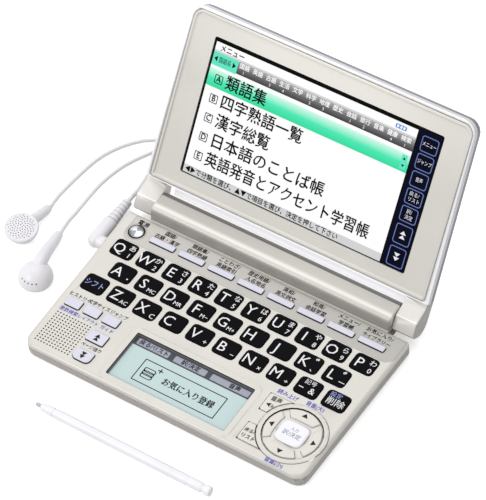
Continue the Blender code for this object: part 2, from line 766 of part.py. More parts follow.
# Blind bores for the hinge pins in both ends of the barrel.
pin_inner = barrel_end - PIN_SEAT
pin_outer = barrel_end + KNUCKLE_GAP + PIN_REACH
bore_radius = PIN_DIAMETER / 2 + FIT_GAP
PIN_SIDES = 16
for label, side in (("left", -1), ("right", 1)):
    bore = turned(
        [(bore_radius, pin_inner), (bore_radius, barrel_end + OVERRUN)],
        PIN_SIDES,
    )
    cutter = helper(
        "barrel_bore_" + label,
        bore,
        location=(0.0, HINGE_Y, HINGE_HEIGHT),
        rotation=(0.0, side * math.pi / 2, 0.0),
    )
    combine(top_case, cutter, "DIFFERENCE")
    pin = turned(
        [
            (PIN_DIAMETER / 2, pin_inner + FIT_GAP),
            (PIN_DIAMETER / 2, pin_outer - FIT_GAP),
        ],
        PIN_SIDES,
    )
    piece(
        "hinge_pin_" + label,
        pin,
        STEEL,
        location=(0.0, HINGE_Y, HINGE_HEIGHT),
        rotation=(0.0, side * math.pi / 2, 0.0),
    )

# Bottom case: a tray under the deck and the lower half of the barrel, on four round feet.
tray_top = SEAM_HEIGHT - FIT_GAP
tray_rings = []
for step in range(EDGE_STEPS + 1):
    turn = math.pi / 2 * step / EDGE_STEPS
    tray_rings.append(
        placed(
            base_outline(UNDERSIDE_EDGE * (1 - math.sin(turn))),
            CASE_BOTTOM + UNDERSIDE_EDGE * (1 - math.cos(turn)),
        )
    )
tray_rings.append(placed(base_outline(0.0), tray_top))
bottom_case = piece("bottom_case", loft(tray_rings), GREY_CASE)

groove_top = CASE_BOTTOM + UNDERSIDE_EDGE / 2
lower_profile = rounded(
    [
        (BARREL_FRONT_Y - BARREL_TONGUE, groove_top, 0.0),
        (BARREL_FRONT_Y - FIT_GAP, groove_top, 0.0),
        (BARREL_FRONT_Y, CASE_BOTTOM, 0.0),
        (BARREL_REAR_Y, CASE_BOTTOM, UNDERSIDE_EDGE),
        (BARREL_REAR_Y, tray_top, 0.0),
        (BARREL_FRONT_Y - BARREL_TONGUE, tray_top, 0.0),
    ],
    4,
)
lower_barrel = helper(
    "lower_barrel_form",
    loft([across(lower_profile, -barrel_end), across(lower_profile, barrel_end)]),
)
combine(bottom_case, lower_barrel, "UNION")

feet = bmesh.new()
foot_front = FOOT_INSET
foot_rear = CELL_Y
foot_front_x = BASE_FRONT_WIDTH / 2 - FOOT_INSET
foot_rear_x = (barrel_end + BAY_LENGTH / 2 + DOOR_MARGIN) / 2
for x, y in (
    (-foot_front_x, foot_front),
    (foot_front_x, foot_front),
    (foot_rear_x, foot_rear),
    (-foot_rear_x, foot_rear),
):
    foot = turned(
        [
            (FOOT_DIAMETER / 2 - FOOT_HEIGHT / 2, 0.0),
            (FOOT_DIAMETER / 2, FOOT_HEIGHT / 2),
            (FOOT_DIAMETER / 2, CASE_BOTTOM + WALL / 2),
        ],
        20,
    )
    shifted(foot, (x, y, 0.0))
    feet_data = bpy.data.meshes.new("foot")
    foot.to_mesh(feet_data)
    foot.free()
    feet.from_mesh(feet_data)
combine(bottom_case, helper("feet_form", feet), "UNION")

tray_hollow = helper(
    "tray_hollow",
    loft([placed(base_outline(WALL), CASE_FLOOR), placed(base_outline(WALL), SEAM_HEIGHT + OVERRUN)]),
)
combine(bottom_case, tray_hollow, "DIFFERENCE")

# Posts that carry the key board.
post_top = BOARD_BOTTOM - FIT_GAP
posts = bmesh.new()
board_side = NARROW_HALF - WALL - 2 * FIT_GAP - POST_DIAMETER
for x in (-board_side, 0.0, board_side):
    for y in (BASE_DEPTH - WALL - 2 * POST_DIAMETER, TOP_ROW_Y - ROW_PITCH * 2):
        post = turned(
            [(POST_DIAMETER / 2, CASE_FLOOR - WALL / 2), (POST_DIAMETER / 2, post_top)],
            12,
        )
        shifted(post, (x, y, 0.0))
        post_data = bpy.data.meshes.new("post")
        post.to_mesh(post_data)
        post.free()
        posts.from_mesh(post_data)
combine(bottom_case, helper("posts_form", posts), "UNION")

# The battery bay is open below, with a recess for its sliding door.
bay_front = CELL_Y - BAY_RADIUS
bay_rear = CELL_Y + BAY_RADIUS
bay_cut = helper(
    "bay_cut",
    loft(
        [
            placed(
                rounded(box_corners(-BAY_LENGTH / 2, BAY_LENGTH / 2, bay_front, bay_rear, 0.0), 1),
                height,
            )
            for height in (CASE_BOTTOM - OVERRUN, SEAM_HEIGHT + OVERRUN)
        ]
    ),
)
combine(bottom_case, bay_cut, "DIFFERENCE")
door_half = BAY_LENGTH / 2 + DOOR_MARGIN
door_front = bay_front - DOOR_MARGIN
recess = helper(
    "door_recess",
    loft(
        [
            placed(
                rounded(
                    box_corners(
                        -door_half - FIT_GAP,
                        door_half + FIT_GAP,
                        door_front - FIT_GAP,
                        BARREL_REAR_Y + OVERRUN,
                        0.0,
                    ),
                    1,
                ),
                height,
            )
            for height in (CASE_BOTTOM - OVERRUN, CASE_BOTTOM + DOOR_THICKNESS + FIT_GAP)
        ]
    ),
)
combine(bottom_case, recess, "DIFFERENCE")

door_profile = rounded(
    [
        (door_front, CASE_BOTTOM, 0.0),
        (BARREL_REAR_Y, CASE_BOTTOM, min(UNDERSIDE_EDGE, DOOR_THICKNESS) - FIT_GAP / 3),
        (BARREL_REAR_Y, CASE_BOTTOM + DOOR_THICKNESS, 0.0),
        (door_front, CASE_BOTTOM + DOOR_THICKNESS, 0.0),
    ],
    4,
)
piece(
    "battery_door",
    loft([across(door_profile, -door_half), across(door_profile, door_half)]),
    GREY_CASE,
)

# Two AAA cells, end to end along the barrel.
for label, start in (
    ("left", -BAY_LENGTH / 2 + FIT_GAP),
    ("right", FIT_GAP / 2),
):
    cell = turned(
        [
            (CELL_DIAMETER / 2 - CELL_EDGE, 0.0),
            (CELL_DIAMETER / 2, CELL_EDGE),
            (CELL_DIAMETER / 2, CELL_LENGTH - CELL_NUB_LENGTH - CELL_EDGE),
            (CELL_DIAMETER / 2 - CELL_EDGE, CELL_LENGTH - CELL_NUB_LENGTH),
            (CELL_NUB_DIAMETER / 2, CELL_LENGTH - CELL_NUB_LENGTH),
            (CELL_NUB_DIAMETER / 2, CELL_LENGTH),
        ],
        16,
    )
    piece(
        "battery_" + label,
        cell,
        CELL_WRAP,
        location=(start, CELL_Y, CELL_HEIGHT),
        rotation=(0.0, math.pi / 2, 0.0),
    )

# The jack's bore runs through the side wall of the tray into the jack.
jack_wall_x = -base_half_width(JACK_Y)
jack_outer = jack_wall_x + WALL + 2 * FIT_GAP
jack_inner = jack_outer + JACK_LENGTH
jack_bore_radius = JACK_PIN_DIAMETER / 2 + JACK_BORE_PLAY
pin_start = jack_wall_x - FIT_GAP
pin_end = pin_start + JACK_PIN_LENGTH
jack_bore = helper(
    "jack_bore",
    turned(
        [(jack_bore_radius, 0.0), (jack_bore_radius, JACK_PIN_LENGTH + 2 * OVERRUN)],
        12,
    ),
    location=(jack_wall_x - OVERRUN, JACK_Y, JACK_AXIS_Z),
    rotation=(0.0, math.pi / 2, 0.0),
)
combine(bottom_case, jack_bore, "DIFFERENCE")
jack_outline = rounded(
    box_corners(jack_outer, jack_inner, JACK_Y - JACK_WIDTH / 2, JACK_Y + JACK_WIDTH / 2, 0.0), 1
)
earphone_jack = piece(
    "earphone_jack",
    loft([placed(jack_outline, JACK_BOTTOM), placed(jack_outline, BOARD_TOP)]),
    JACK_BLACK,
)
combine(earphone_jack, jack_bore, "DIFFERENCE")

# Key board: circuit board and rubber mat as one plate, cut away for the speaker, jack and panel edge.
board_front = CASE_FLOOR + FIT_GAP
board_left = -NARROW_HALF + WALL + 2 * FIT_GAP
speaker_notch_x = SPEAKER_X + SPEAKER_DIAMETER / 2 + 2 * FIT_GAP
speaker_notch_y = SPEAKER_Y + SPEAKER_DIAMETER / 2 + 2 * FIT_GAP
board_rear = BASE_DEPTH - WALL - POST_DIAMETER
jack_notch = JACK_WIDTH / 2 + FIT_GAP
board_outline = rounded(
    [
        (speaker_notch_x, board_front, 0.0),
        (-board_left - BASE_FRONT_CORNER, board_front, 0.0),
        (-board_left, board_front + BASE_FRONT_CORNER, 0.0),
        (-board_left, board_rear, 0.0),
        (board_left, board_rear, 0.0),
        (board_left, JACK_Y + jack_notch, 0.0),
        (jack_inner + FIT_GAP, JACK_Y + jack_notch, 0.0),
        (jack_inner + FIT_GAP, JACK_Y - jack_notch, 0.0),
        (board_left, JACK_Y - jack_notch, 0.0),
        (board_left, speaker_notch_y, 0.0),
        (speaker_notch_x, speaker_notch_y, 0.0),
    ],
    1,
)
piece(
    "key_board",
    loft([placed(board_outline, BOARD_BOTTOM), placed(board_outline, BOARD_TOP)]),
    BOARD_GREEN,
)

# Speaker under the grille.
piece(
    "speaker",
    turned(
        [
            (SPEAKER_MAGNET_DIAMETER / 2, FLANGE_TOP - SPEAKER_DEPTH),
            (SPEAKER_MAGNET_DIAMETER / 2, FLANGE_TOP - SPEAKER_DEPTH / 2),
            (SPEAKER_DIAMETER / 2, FLANGE_TOP - SPEAKER_DEPTH / 3),
            (SPEAKER_DIAMETER / 2, FLANGE_TOP),
        ],
        24,
    ),
    DARK_METAL,
    location=(SPEAKER_X, SPEAKER_Y, 0.0),
)

# Handwriting panel, held against the underside of the deck below its window.
sub_outline = rounded(
    box_corners(
        SUB_X - SUB_WINDOW_WIDTH / 2 - SUB_MARGIN,
        SUB_X + SUB_WINDOW_WIDTH / 2 + SUB_MARGIN,
        SUB_Y - SUB_WINDOW_DEPTH / 2 - SUB_MARGIN,
        SUB_Y + SUB_WINDOW_DEPTH / 2 + SUB_MARGIN,
        SUB_WINDOW_CORNER,
    ),
    2,
)
piece(
    "sub_display",
    loft([placed(sub_outline, FLANGE_TOP - SUB_THICKNESS), placed(sub_outline, FLANGE_TOP)]),
    PANEL_GLASS,
)

# Letter keys, each its own solid with its origin in its middle at the deck's height.
cap_top = DECK_HEIGHT + KEY_RISE
key_mesh = None
for name, x, y in letter_places:
    if key_mesh is None:
        rings = []
        for grow, height in (
            (KEY_FLANGE, FLANGE_BOTTOM),
            (KEY_FLANGE, FLANGE_TOP),
            (0.0, FLANGE_TOP),
            (0.0, cap_top - KEY_CROWN),
            (-KEY_CROWN, cap_top),
        ):
            outline = rounded(
                key_corners(0.0, 0.0, KEY_WIDTH, KEY_DEPTH, KEY_CORNER, grow),
                2,
            )
            rings.append(placed(outline, height - DECK_HEIGHT))
        made = piece(name, loft(rings), KEY_BLACK, location=(x, y, DECK_HEIGHT))
        key_mesh = made.data
        continue
    made = bpy.data.objects.new(name, key_mesh)
    bpy.context.scene.collection.objects.link(made)
    made.parent = root
    made.location = (x, y, DECK_HEIGHT)


def key_strip(name, outlines, margin, look):
    """Key caps moulded on one spring strip that stays under the deck."""
    xs = [point[0] for outline in outlines for point in outline]
    ys = [point[1] for outline in outlines for point in outline]
    bar = rounded(
        box_corners(
            min(xs) - margin,
            max(xs) + margin,
            min(ys) - margin,
            max(ys) + margin,
            margin,
        ),
        2,
    )
    strip = piece(name, loft([placed(bar, FLANGE_BOTTOM), placed(bar, FLANGE_TOP)]), look)
    caps = bmesh.new()
    for outline in outlines:
        middle = sum((Vector(point) for point in outline), Vector((0.0, 0.0))) / len(outline)
        drawn = [
            middle + (point - middle) * (1 - KEY_CROWN / (point - middle).length)
            for point in outline
        ]
        top = DECK_HEIGHT + SMALL_KEY_RISE
        loft(
            [
                placed(outline, (FLANGE_BOTTOM + FLANGE_TOP) / 2),
                placed(outline, top - KEY_CROWN),
                placed(drawn, top),
            ],
            caps,
        )
    combine(strip, helper(name + "_caps", caps), "UNION")
    return strip


key_strip(
    "function_keys",
    [
        rounded(key_corners(x, y, FUNCTION_WIDTH, FUNCTION_DEPTH, SMALL_KEY_CORNER), 1)
        for x, y in function_places
    ],
    KEY_FLANGE,
    KEY_LAVENDER,
)
key_strip(
    "menu_keys",
    [rounded(key_corners(x, y, MENU_WIDTH, MENU_DEPTH, SMALL_KEY_CORNER), 1) for x, y in menu_places],
    KEY_FLANGE,
    KEY_LAVENDER,
)
key_strip(
    "page_keys",
    [rounded(page_corners(x, y, front_round), 3) for x, y, front_round in page_places],
    KEY_FLANGE,
    KEY_LAVENDER,
)

# Round power button with a shallow dome.
power_radius = POWER_DIAMETER / 2
piece(
    "power_button",
    turned(
        [
            (power_radius + KEY_FLANGE, FLANGE_BOTTOM),
            (power_radius + KEY_FLANGE, FLANGE_TOP),
            (power_radius, FLANGE_TOP),
            (power_radius, DECK_HEIGHT + POWER_RISE / 3),
            (power_radius * 0.86, DECK_HEIGHT + POWER_RISE * 0.72),
            (power_radius * 0.55, DECK_HEIGHT + POWER_RISE * 0.94),
            (0.0, DECK_HEIGHT + POWER_RISE),
        ],
        20,
    ),
    CHROME,
    location=(POWER_X, POWER_Y, 0.0),
)

# Cursor pad: a dished disc with four raised crescents round a square hole for the enter key.
pad_top = DECK_HEIGHT - PAD_DISH_DEPTH
cursor_pad = piece(
    "cursor_pad",
    turned(
        [
            (pad_radius + KEY_FLANGE, FLANGE_BOTTOM),
            (pad_radius + KEY_FLANGE, FLANGE_TOP),
            (pad_radius, FLANGE_TOP),
            (pad_radius, pad_top),
        ],
        PAD_SIDES,
    ),
    PAD_PAINT,
    location=(PAD_X, PAD_Y, 0.0),
)
crescents = bmesh.new()
CRESCENT_STEPS = 6
crescent_outer = pad_radius - CRESCENT_OUTER_GAP
for quarter in range(4):
    facing = math.pi / 2 * quarter
    rings = []
    for draw, height in (
        (0.0, (FLANGE_TOP + pad_top) / 2),
        (0.0, pad_top + CRESCENT_RISE - KEY_CROWN),
        (KEY_CROWN, pad_top + CRESCENT_RISE),
    ):
        outline = []
        for step in range(CRESCENT_STEPS + 1):
            spread = CRESCENT_HALF_ANGLE - draw / crescent_outer
            angle = facing - spread + 2 * spread * step / CRESCENT_STEPS
            reach = crescent_outer - draw
            outline.append(Vector((reach * math.cos(angle), reach * math.sin(angle))))
        for step in range(CRESCENT_STEPS + 1):
            spread = CRESCENT_HALF_ANGLE - draw / CRESCENT_INNER_WIDTH
            angle = facing + spread - 2 * spread * step / CRESCENT_STEPS
            cosine = abs(math.cos(angle)) / (CRESCENT_INNER_WIDTH + draw)
            sine = abs(math.sin(angle)) / (CRESCENT_INNER_DEPTH + draw)
            reach = (cosine**ENTER_BULGE_SHARE + sine**ENTER_BULGE_SHARE) ** (-1 / ENTER_BULGE_SHARE)
            outline.append(Vector((reach * math.cos(angle), reach * math.sin(angle))))
        rings.append(placed(outline, height))
    loft(rings, crescents)
combine(
    cursor_pad,
    helper("crescents_form", crescents, location=(PAD_X, PAD_Y, 0.0)),
    "UNION",
)
enter_hole = loft(
    [
        placed(enter_outline(FIT_GAP), FLANGE_BOTTOM - OVERRUN),
        placed(enter_outline(FIT_GAP), DECK_HEIGHT + OVERRUN),
    ]
)
combine(
    cursor_pad,
    helper("enter_hole", enter_hole, location=(PAD_X, PAD_Y, 0.0)),
    "DIFFERENCE",
)
enter_top = DECK_HEIGHT + ENTER_RISE
piece(
    "enter_key",
    loft(
        [
            placed(enter_outline(0.0), FLANGE_BOTTOM),
            placed(enter_outline(0.0), enter_top - 2 * KEY_CROWN),
            placed(enter_outline(-KEY_CROWN), enter_top - KEY_CROWN / 2),
            placed(enter_outline(-3 * KEY_CROWN), enter_top),
        ]
    ),
    ENTER_WHITE,
    location=(PAD_X, PAD_Y, 0.0),
)

# The two keys beside the pad.
for name, upward in (("voice_key", 1), ("back_key", -1)):
    piece(
        name,
        loft(
            [
                placed(side_key_outline(upward, KEY_FLANGE), FLANGE_BOTTOM),
                placed(side_key_outline(upward, KEY_FLANGE), FLANGE_TOP),
                placed(side_key_outline(upward, 0.0), FLANGE_TOP),
                placed(side_key_outline(upward, 0.0), cap_top - KEY_CROWN),
                placed(side_key_outline(upward, -KEY_CROWN), cap_top),
            ]
        ),
        PAD_PAINT,
    )


# Lid cover: a shallow tray with a lip flange and two hinge knuckles along its foot.
def lid_outline(inset, foot, steps=5):
    hinge_half = LID_HINGE_WIDTH / 2 - inset
    top_half = LID_TOP_WIDTH / 2 - inset
    round_top = LID_CORNER - inset
    return rounded(
        [
            (-hinge_half, foot, LID_FOOT_CORNER),
            (hinge_half, foot, LID_FOOT_CORNER),
            (top_half, LID_TOP - inset, round_top),
            (-top_half, LID_TOP - inset, round_top),
        ],
        steps,
    )


cover_rings = []
for step in range(EDGE_STEPS + 1):
    turn = math.pi / 2 * step / EDGE_STEPS
    cover_rings.append(
        placed(
            lid_outline(LID_BACK_EDGE * (1 - math.sin(turn)), LID_FOOT),
            -LID_THICKNESS + LID_BACK_EDGE * (1 - math.cos(turn)),
        )
    )
cover_rings.append(placed(lid_outline(0.0, LID_FOOT), -LID_RIM_EDGE))
cover_rings.append(placed(lid_outline(LID_RIM_EDGE, LID_FOOT + LID_RIM_EDGE / 2), 0.0))
lid_cover = piece("lid_cover", loft(cover_rings), LAVENDER, parent=lid_pivot)

bezel_foot = LID_FOOT + BEZEL_FOOT_RIM
bezel_top = LID_TOP - BEZEL_TOP_RIM


def bezel_outline(inset, steps=5):
    foot_half = BEZEL_FOOT_WIDTH / 2 - inset
    top_half = BEZEL_TOP_WIDTH / 2 - inset
    low_round = max(BEZEL_CORNER / 3 - inset, LIP_EDGE)
    return rounded(
        [
            (-foot_half, bezel_foot + inset, low_round),
            (foot_half, bezel_foot + inset, low_round),
            (top_half, bezel_top - inset, BEZEL_CORNER - inset),
            (-top_half, bezel_top - inset, BEZEL_CORNER - inset),
        ],
        steps,
    )


flange_inner = -LID_THICKNESS + LID_WALL
knuckle_inner = barrel_end + KNUCKLE_GAP
knuckle_outer = knuckle_inner + KNUCKLE_WIDTH
flange_join = bezel_foot - 2 * FIT_GAP
flange_box = rounded(
    box_corners(-knuckle_inner + FLANGE_NOTCH, knuckle_inner + OVERRUN, FLANGE_FOOT, flange_join, 0.0), 1
)
flange = helper(
    "flange_form",
    loft([placed(flange_box, -LID_THICKNESS), placed(flange_box, flange_inner)]),
    parent=lid_pivot,
)
combine(lid_cover, flange, "UNION")


def knuckle_profile(inset):
    """Section of a hinge knuckle: a round heel about the axis, a flat under it and a throat facet."""
    reach = LID_THICKNESS - inset
    points = [(flange_join, -reach)]
    first = -math.pi / 2
    heel = KNUCKLE_HEEL - inset
    last = -math.pi - math.asin((KNUCKLE_UNDER - inset) / math.hypot(heel, KNUCKLE_UNDER - inset))
    steps = 10
    for step in range(steps + 1):
        angle = first + (last - first) * step / steps
        size = reach + (math.hypot(heel, KNUCKLE_UNDER - inset) - reach) * step / steps
        points.append((size * math.cos(angle), size * math.sin(angle)))
    points.append((KNUCKLE_TOE - inset / 2, KNUCKLE_UNDER - inset))
    points.append((KNUCKLE_THROAT - inset, -KNUCKLE_STEP - inset / 2))
    points.append((flange_join, -KNUCKLE_STEP - inset / 2))
    return points


for label, side in (("left", -1), ("right", 1)):
    stations = (
        (0.0, knuckle_inner),
        (0.0, knuckle_outer - KNUCKLE_EDGE),
        (KNUCKLE_EDGE, knuckle_outer),
    )
    knuckle = helper(
        "knuckle_form_" + label,
        loft([across(knuckle_profile(inset), side * x) for inset, x in stations]),
        parent=lid_pivot,
    )
    combine(lid_cover, knuckle, "UNION")
    bore = turned(
        [(bore_radius, knuckle_inner - OVERRUN), (bore_radius, pin_outer)],
        PIN_SIDES,
    )
    cutter = helper(
        "knuckle_bore_" + label,
        bore,
        parent=lid_pivot,
        rotation=(0.0, side * math.pi / 2, 0.0),
    )
    combine(lid_cover, cutter, "DIFFERENCE")

lid_hollow = helper(
    "lid_hollow",
    loft([placed(bezel_outline(-FIT_GAP), flange_inner), placed(bezel_outline(-FIT_GAP), OVERRUN)]),
    parent=lid_pivot,
)
combine(lid_cover, lid_hollow, "DIFFERENCE")

# Lid bezel: fills the cover, with a raised lip all round its panel and the window through it.
bezel_back = flange_inner + FIT_GAP
bezel_rings = [placed(bezel_outline(0.0), bezel_back)]
for inset, height in (
    (0.0, LIP_HEIGHT - LIP_EDGE),
    (LIP_EDGE, LIP_HEIGHT),
    (LIP_WIDTH, LIP_HEIGHT),
    (LIP_WIDTH + LIP_SLOPE, -PANEL_DEPTH),
):
    bezel_rings.append(placed(bezel_outline(inset), height))
lid_bezel = piece("lid_bezel", loft(bezel_rings), BEZEL_PAINT, parent=lid_pivot)


def window_outline(grow):
    return rounded(
        box_corners(
            WINDOW_MIDDLE_X - WINDOW_WIDTH / 2 - grow,
            WINDOW_MIDDLE_X + WINDOW_WIDTH / 2 + grow,
            WINDOW_MIDDLE_V - WINDOW_HEIGHT / 2 - grow,
            WINDOW_MIDDLE_V + WINDOW_HEIGHT / 2 + grow,
            WINDOW_CORNER + grow,
        ),
        2,
    )


window_cut = helper(
    "window_cut",
    loft(
        [
            placed(window_outline(FIT_GAP), bezel_back - OVERRUN),
            placed(window_outline(FIT_GAP), OVERRUN),
        ]
    ),
    parent=lid_pivot,
)
combine(lid_bezel, window_cut, "DIFFERENCE")
piece(
    "main_display",
    loft([placed(window_outline(0.0), bezel_back), placed(window_outline(0.0), -WINDOW_DEPTH)]),
    GLASS,
    parent=lid_pivot,
)

# Stylus: a turned stick with a soft nib and a flared cap end, flattened by its facets on the table.
stylus_radius = STYLUS_DIAMETER / 2
piece(
    "stylus",
    turned(
        [
            (STYLUS_TIP_DIAMETER / 4, 0.0),
            (STYLUS_TIP_DIAMETER / 2, STYLUS_TIP_DIAMETER / 3),
            (STYLUS_NECK_DIAMETER / 2, STYLUS_NIB_LENGTH * 0.72),
            (STYLUS_NECK_DIAMETER / 2, STYLUS_NIB_LENGTH),
            (stylus_radius * 0.82, STYLUS_NIB_LENGTH + STYLUS_TIP_DIAMETER / 2),
            (stylus_radius * 0.94, STYLUS_NIB_LENGTH * 2.2),
            (stylus_radius * 0.94, STYLUS_LENGTH - STYLUS_CAP_LENGTH),
            (stylus_radius - STYLUS_FLARE / 2, STYLUS_LENGTH - STYLUS_CAP_LENGTH / 2),
            (stylus_radius, STYLUS_LENGTH - STYLUS_FLARE * 2),
            (stylus_radius, STYLUS_LENGTH - STYLUS_FLARE / 2),
            (stylus_radius - STYLUS_FLARE, STYLUS_LENGTH),
        ],
        20,
    ),
    STYLUS_PAINT,
    location=(STYLUS_NIB_X, STYLUS_Y, stylus_radius),
    rotation=(0.0, math.pi / 2, 0.0),
)

# Earphone plug: a round L-shaped grip with a ribbed strain relief, an arm and the pin in the jack.
plug_radius = PLUG_DIAMETER / 2
relief_length = PLUG_RELIEF_END_Y - PLUG_BODY_END_Y
grip_profile = [(0.0, PLUG_HEEL_Y)]
for step in range(1, 5):
    turn = math.pi / 2 * step / 4
    grip_profile.append(
        (plug_radius * math.sin(turn), PLUG_HEEL_Y + plug_radius * 0.8 * (1 - math.cos(turn)))
    )
grip_profile.append((plug_radius, PLUG_BODY_END_Y - plug_radius / 3))
grip_profile.append((plug_radius * 0.86, PLUG_BODY_END_Y))
relief_start = plug_radius * 0.80
relief_tip = MAIN_LEAD_DIAMETER / 2 + 2 * PLUG_RIB_DEPTH
for rib in range(PLUG_RIBS):
    for share, sunk in ((0.12, 0.0), (0.60, 0.0), (0.64, PLUG_RIB_DEPTH), (0.96, PLUG_RIB_DEPTH)):
        along = (rib + share) / PLUG_RIBS
        grip_profile.append(
            (
                relief_start + (relief_tip - relief_start) * along - sunk,
                PLUG_BODY_END_Y + relief_length * along,
            )
        )
grip_profile[-1] = (relief_tip, PLUG_RELIEF_END_Y)
earphone_plug = piece(
    "earphone_plug",
    turned(grip_profile, 12),
    EAR_WHITE,
    location=(PLUG_AXIS_X, 0.0, JACK_AXIS_Z),
    rotation=(-math.pi / 2, 0.0, 0.0),
)
arm_radius = PLUG_ARM_DIAMETER / 2
arm = helper(
    "plug_arm_form",
    turned(
        [
            (arm_radius, PLUG_AXIS_X),
            (arm_radius, pin_start - arm_radius / 4),
            (arm_radius * 0.9, pin_start),
            (JACK_PIN_DIAMETER / 2, pin_start),
            (JACK_PIN_DIAMETER / 2, pin_end - JACK_PIN_DIAMETER / 2),
            (JACK_PIN_DIAMETER / 4, pin_end),
        ],
        12,
    ),
    location=(0.0, JACK_Y, JACK_AXIS_Z),
    rotation=(0.0, math.pi / 2, 0.0),
)
combine(earphone_plug, arm, "UNION")


def smooth_route(route, spacing):
    """Points at an even spacing on a smooth curve through hand-chosen route points."""
    ends = [route[0] * 2 - route[1]] + route + [route[-1] * 2 - route[-2]]
    fine = []
    for index in range(1, len(ends) - 2):
        before, start, end, after = ends[index - 1 : index + 3]
        for step in range(24):
            t = step / 24
            fine.append(
                (
                    start * 2
                    + (end - before) * t
                    + (before * 2 - start * 5 + end * 4 - after) * t**2
                    + (start * 3 - before - end * 3 + after) * t**3
                )
                / 2
            )
    fine.append(route[-1])
    run = [0.0]
    for first, second in zip(fine, fine[1:]):
        run.append(run[-1] + (second - first).length)
    count = max(2, round(run[-1] / spacing))
    points = []
    place = 0
    for step in range(count + 1):
        target = run[-1] * step / count
        while place < len(run) - 2 and run[place + 1] < target:
            place += 1
        share = (target - run[place]) / (run[place + 1] - run[place])
        points.append(fine[place].lerp(fine[place + 1], min(share, 1.0)))
    return points, run[-1]


def cord(name, points, diameter, sides_level, look):
    """A round cord: a curve with a bevel and filled caps through the points."""
    data = bpy.data.curves.new(name, "CURVE")
    data.dimensions = "3D"
    data.bevel_depth = diameter / 2
    data.bevel_resolution = sides_level
    data.use_fill_caps = True
    spline = data.splines.new("POLY")
    spline.points.add(len(points) - 1)
    for slot, point in zip(spline.points, points):
        slot.co = (*point, 1.0)
    data.materials.append(look)
    made = bpy.data.objects.new(name, data)
    bpy.context.scene.collection.objects.link(made)
    made.parent = root
    return made


# Coil: four turns spiral in on the upper layer, drop a layer in the half turn where the spiral
# reverses, and four turns spiral out on the lower one. Both ends run straight.
main_radius = MAIN_LEAD_DIAMETER / 2
lower_layer = main_radius
upper_layer = main_radius + COIL_SPACING
coil_points = [Vector((COIL_X - MAIN_LEAD_DIAMETER, COIL_Y - COIL_OUTER_RADIUS, upper_layer))]
total_steps = 2 * COIL_TURNS * COIL_STEP_COUNT
for step in range(total_steps + 1):
    turns = step / COIL_STEP_COUNT
    radius = COIL_OUTER_RADIUS - COIL_SPACING * min(turns, 2 * COIL_TURNS - turns)
    drop = min(max((turns - COIL_TURNS + 0.25) / 0.5, 0.0), 1.0)
    height = upper_layer - COIL_SPACING * (1 - math.cos(math.pi * drop)) / 2
    angle = -math.pi / 2 + math.tau * turns
    coil_points.append(
        Vector((COIL_X + radius * math.cos(angle), COIL_Y + radius * math.sin(angle), height))
    )
coil_end = coil_points[-1] + Vector((COIL_LEAD_OUT, 0.0, 0.0))
coil_points.append(coil_points[-1].lerp(coil_end, 0.5))
coil_points.append(coil_end)
cord("lead_coil", coil_points, MAIN_LEAD_DIAMETER, 1, CORD_WHITE)
closest = min(
    (first - second).length
    for place, first in enumerate(coil_points)
    for second in coil_points[place + COIL_STEP_COUNT // 2 :]
)
print("lead_coil: least gap to itself %.2f mm" % ((closest - MAIN_LEAD_DIAMETER) / MM))

# Main lead, from the strain relief round the left side to the coil behind the lid.
main_route = [
    Vector((PLUG_AXIS_X, PLUG_RELIEF_END_Y + FIT_GAP, JACK_AXIS_Z)),
    Vector((PLUG_AXIS_X, PLUG_RELIEF_END_Y + FIT_GAP + MAIN_LEAD_DIAMETER, JACK_AXIS_Z)),
    Vector((-81.2 * MM, 103.5 * MM, 2.4 * MM)),
    Vector((-82.3 * MM, 109.5 * MM, 1.4 * MM)),
    Vector((-82.6 * MM, 117.0 * MM, main_radius)),
    Vector((-78.0 * MM, 126.0 * MM, main_radius)),
    Vector((-66.0 * MM, 132.5 * MM, main_radius)),
    Vector((-46.0 * MM, 134.6 * MM, main_radius)),
    Vector((-26.0 * MM, 134.8 * MM, main_radius)),
    Vector((-10.0 * MM, 134.6 * MM, 2.6 * MM)),
    coil_points[0] - Vector((2 * MAIN_LEAD_DIAMETER + FIT_GAP, 0.0, 0.0)),
    coil_points[0] - Vector((FIT_GAP, 0.0, 0.0)),
]
main_points, main_length = smooth_route(main_route, 2.3 * MAIN_LEAD_DIAMETER)
cord("main_lead", main_points, MAIN_LEAD_DIAMETER, 2, CORD_WHITE)
coil_length = sum((b - a).length for a, b in zip(coil_points, coil_points[1:]))

# Splitter where the lead parts into two branches.
splitter_start = coil_end.x + FIT_GAP
splitter_end = splitter_start + SPLITTER_LENGTH
splitter_half = SPLITTER_WIDTH / 2
splitter_middle = SPLITTER_HEIGHT / 2


def splitter_ring(x, width, height):
    lean = min(width, height) * 0.3
    section = rounded(box_corners(-width / 2, width / 2, -height / 2, height / 2, lean), 2)
    return [Vector((x, coil_end.y + point[0], splitter_middle + point[1])) for point in section]


piece(
    "cord_splitter",
    loft(
        [
            splitter_ring(splitter_start, SPLITTER_WIDTH * 0.62, SPLITTER_HEIGHT * 0.84),
            splitter_ring(splitter_start + SPLITTER_LENGTH * 0.4, SPLITTER_WIDTH * 0.86, SPLITTER_HEIGHT),
            splitter_ring(splitter_end - SPLITTER_LENGTH * 0.1, SPLITTER_WIDTH, SPLITTER_HEIGHT),
            splitter_ring(splitter_end, SPLITTER_WIDTH * 0.9, SPLITTER_HEIGHT * 0.86),
        ]
    ),
    EAR_WHITE,
)

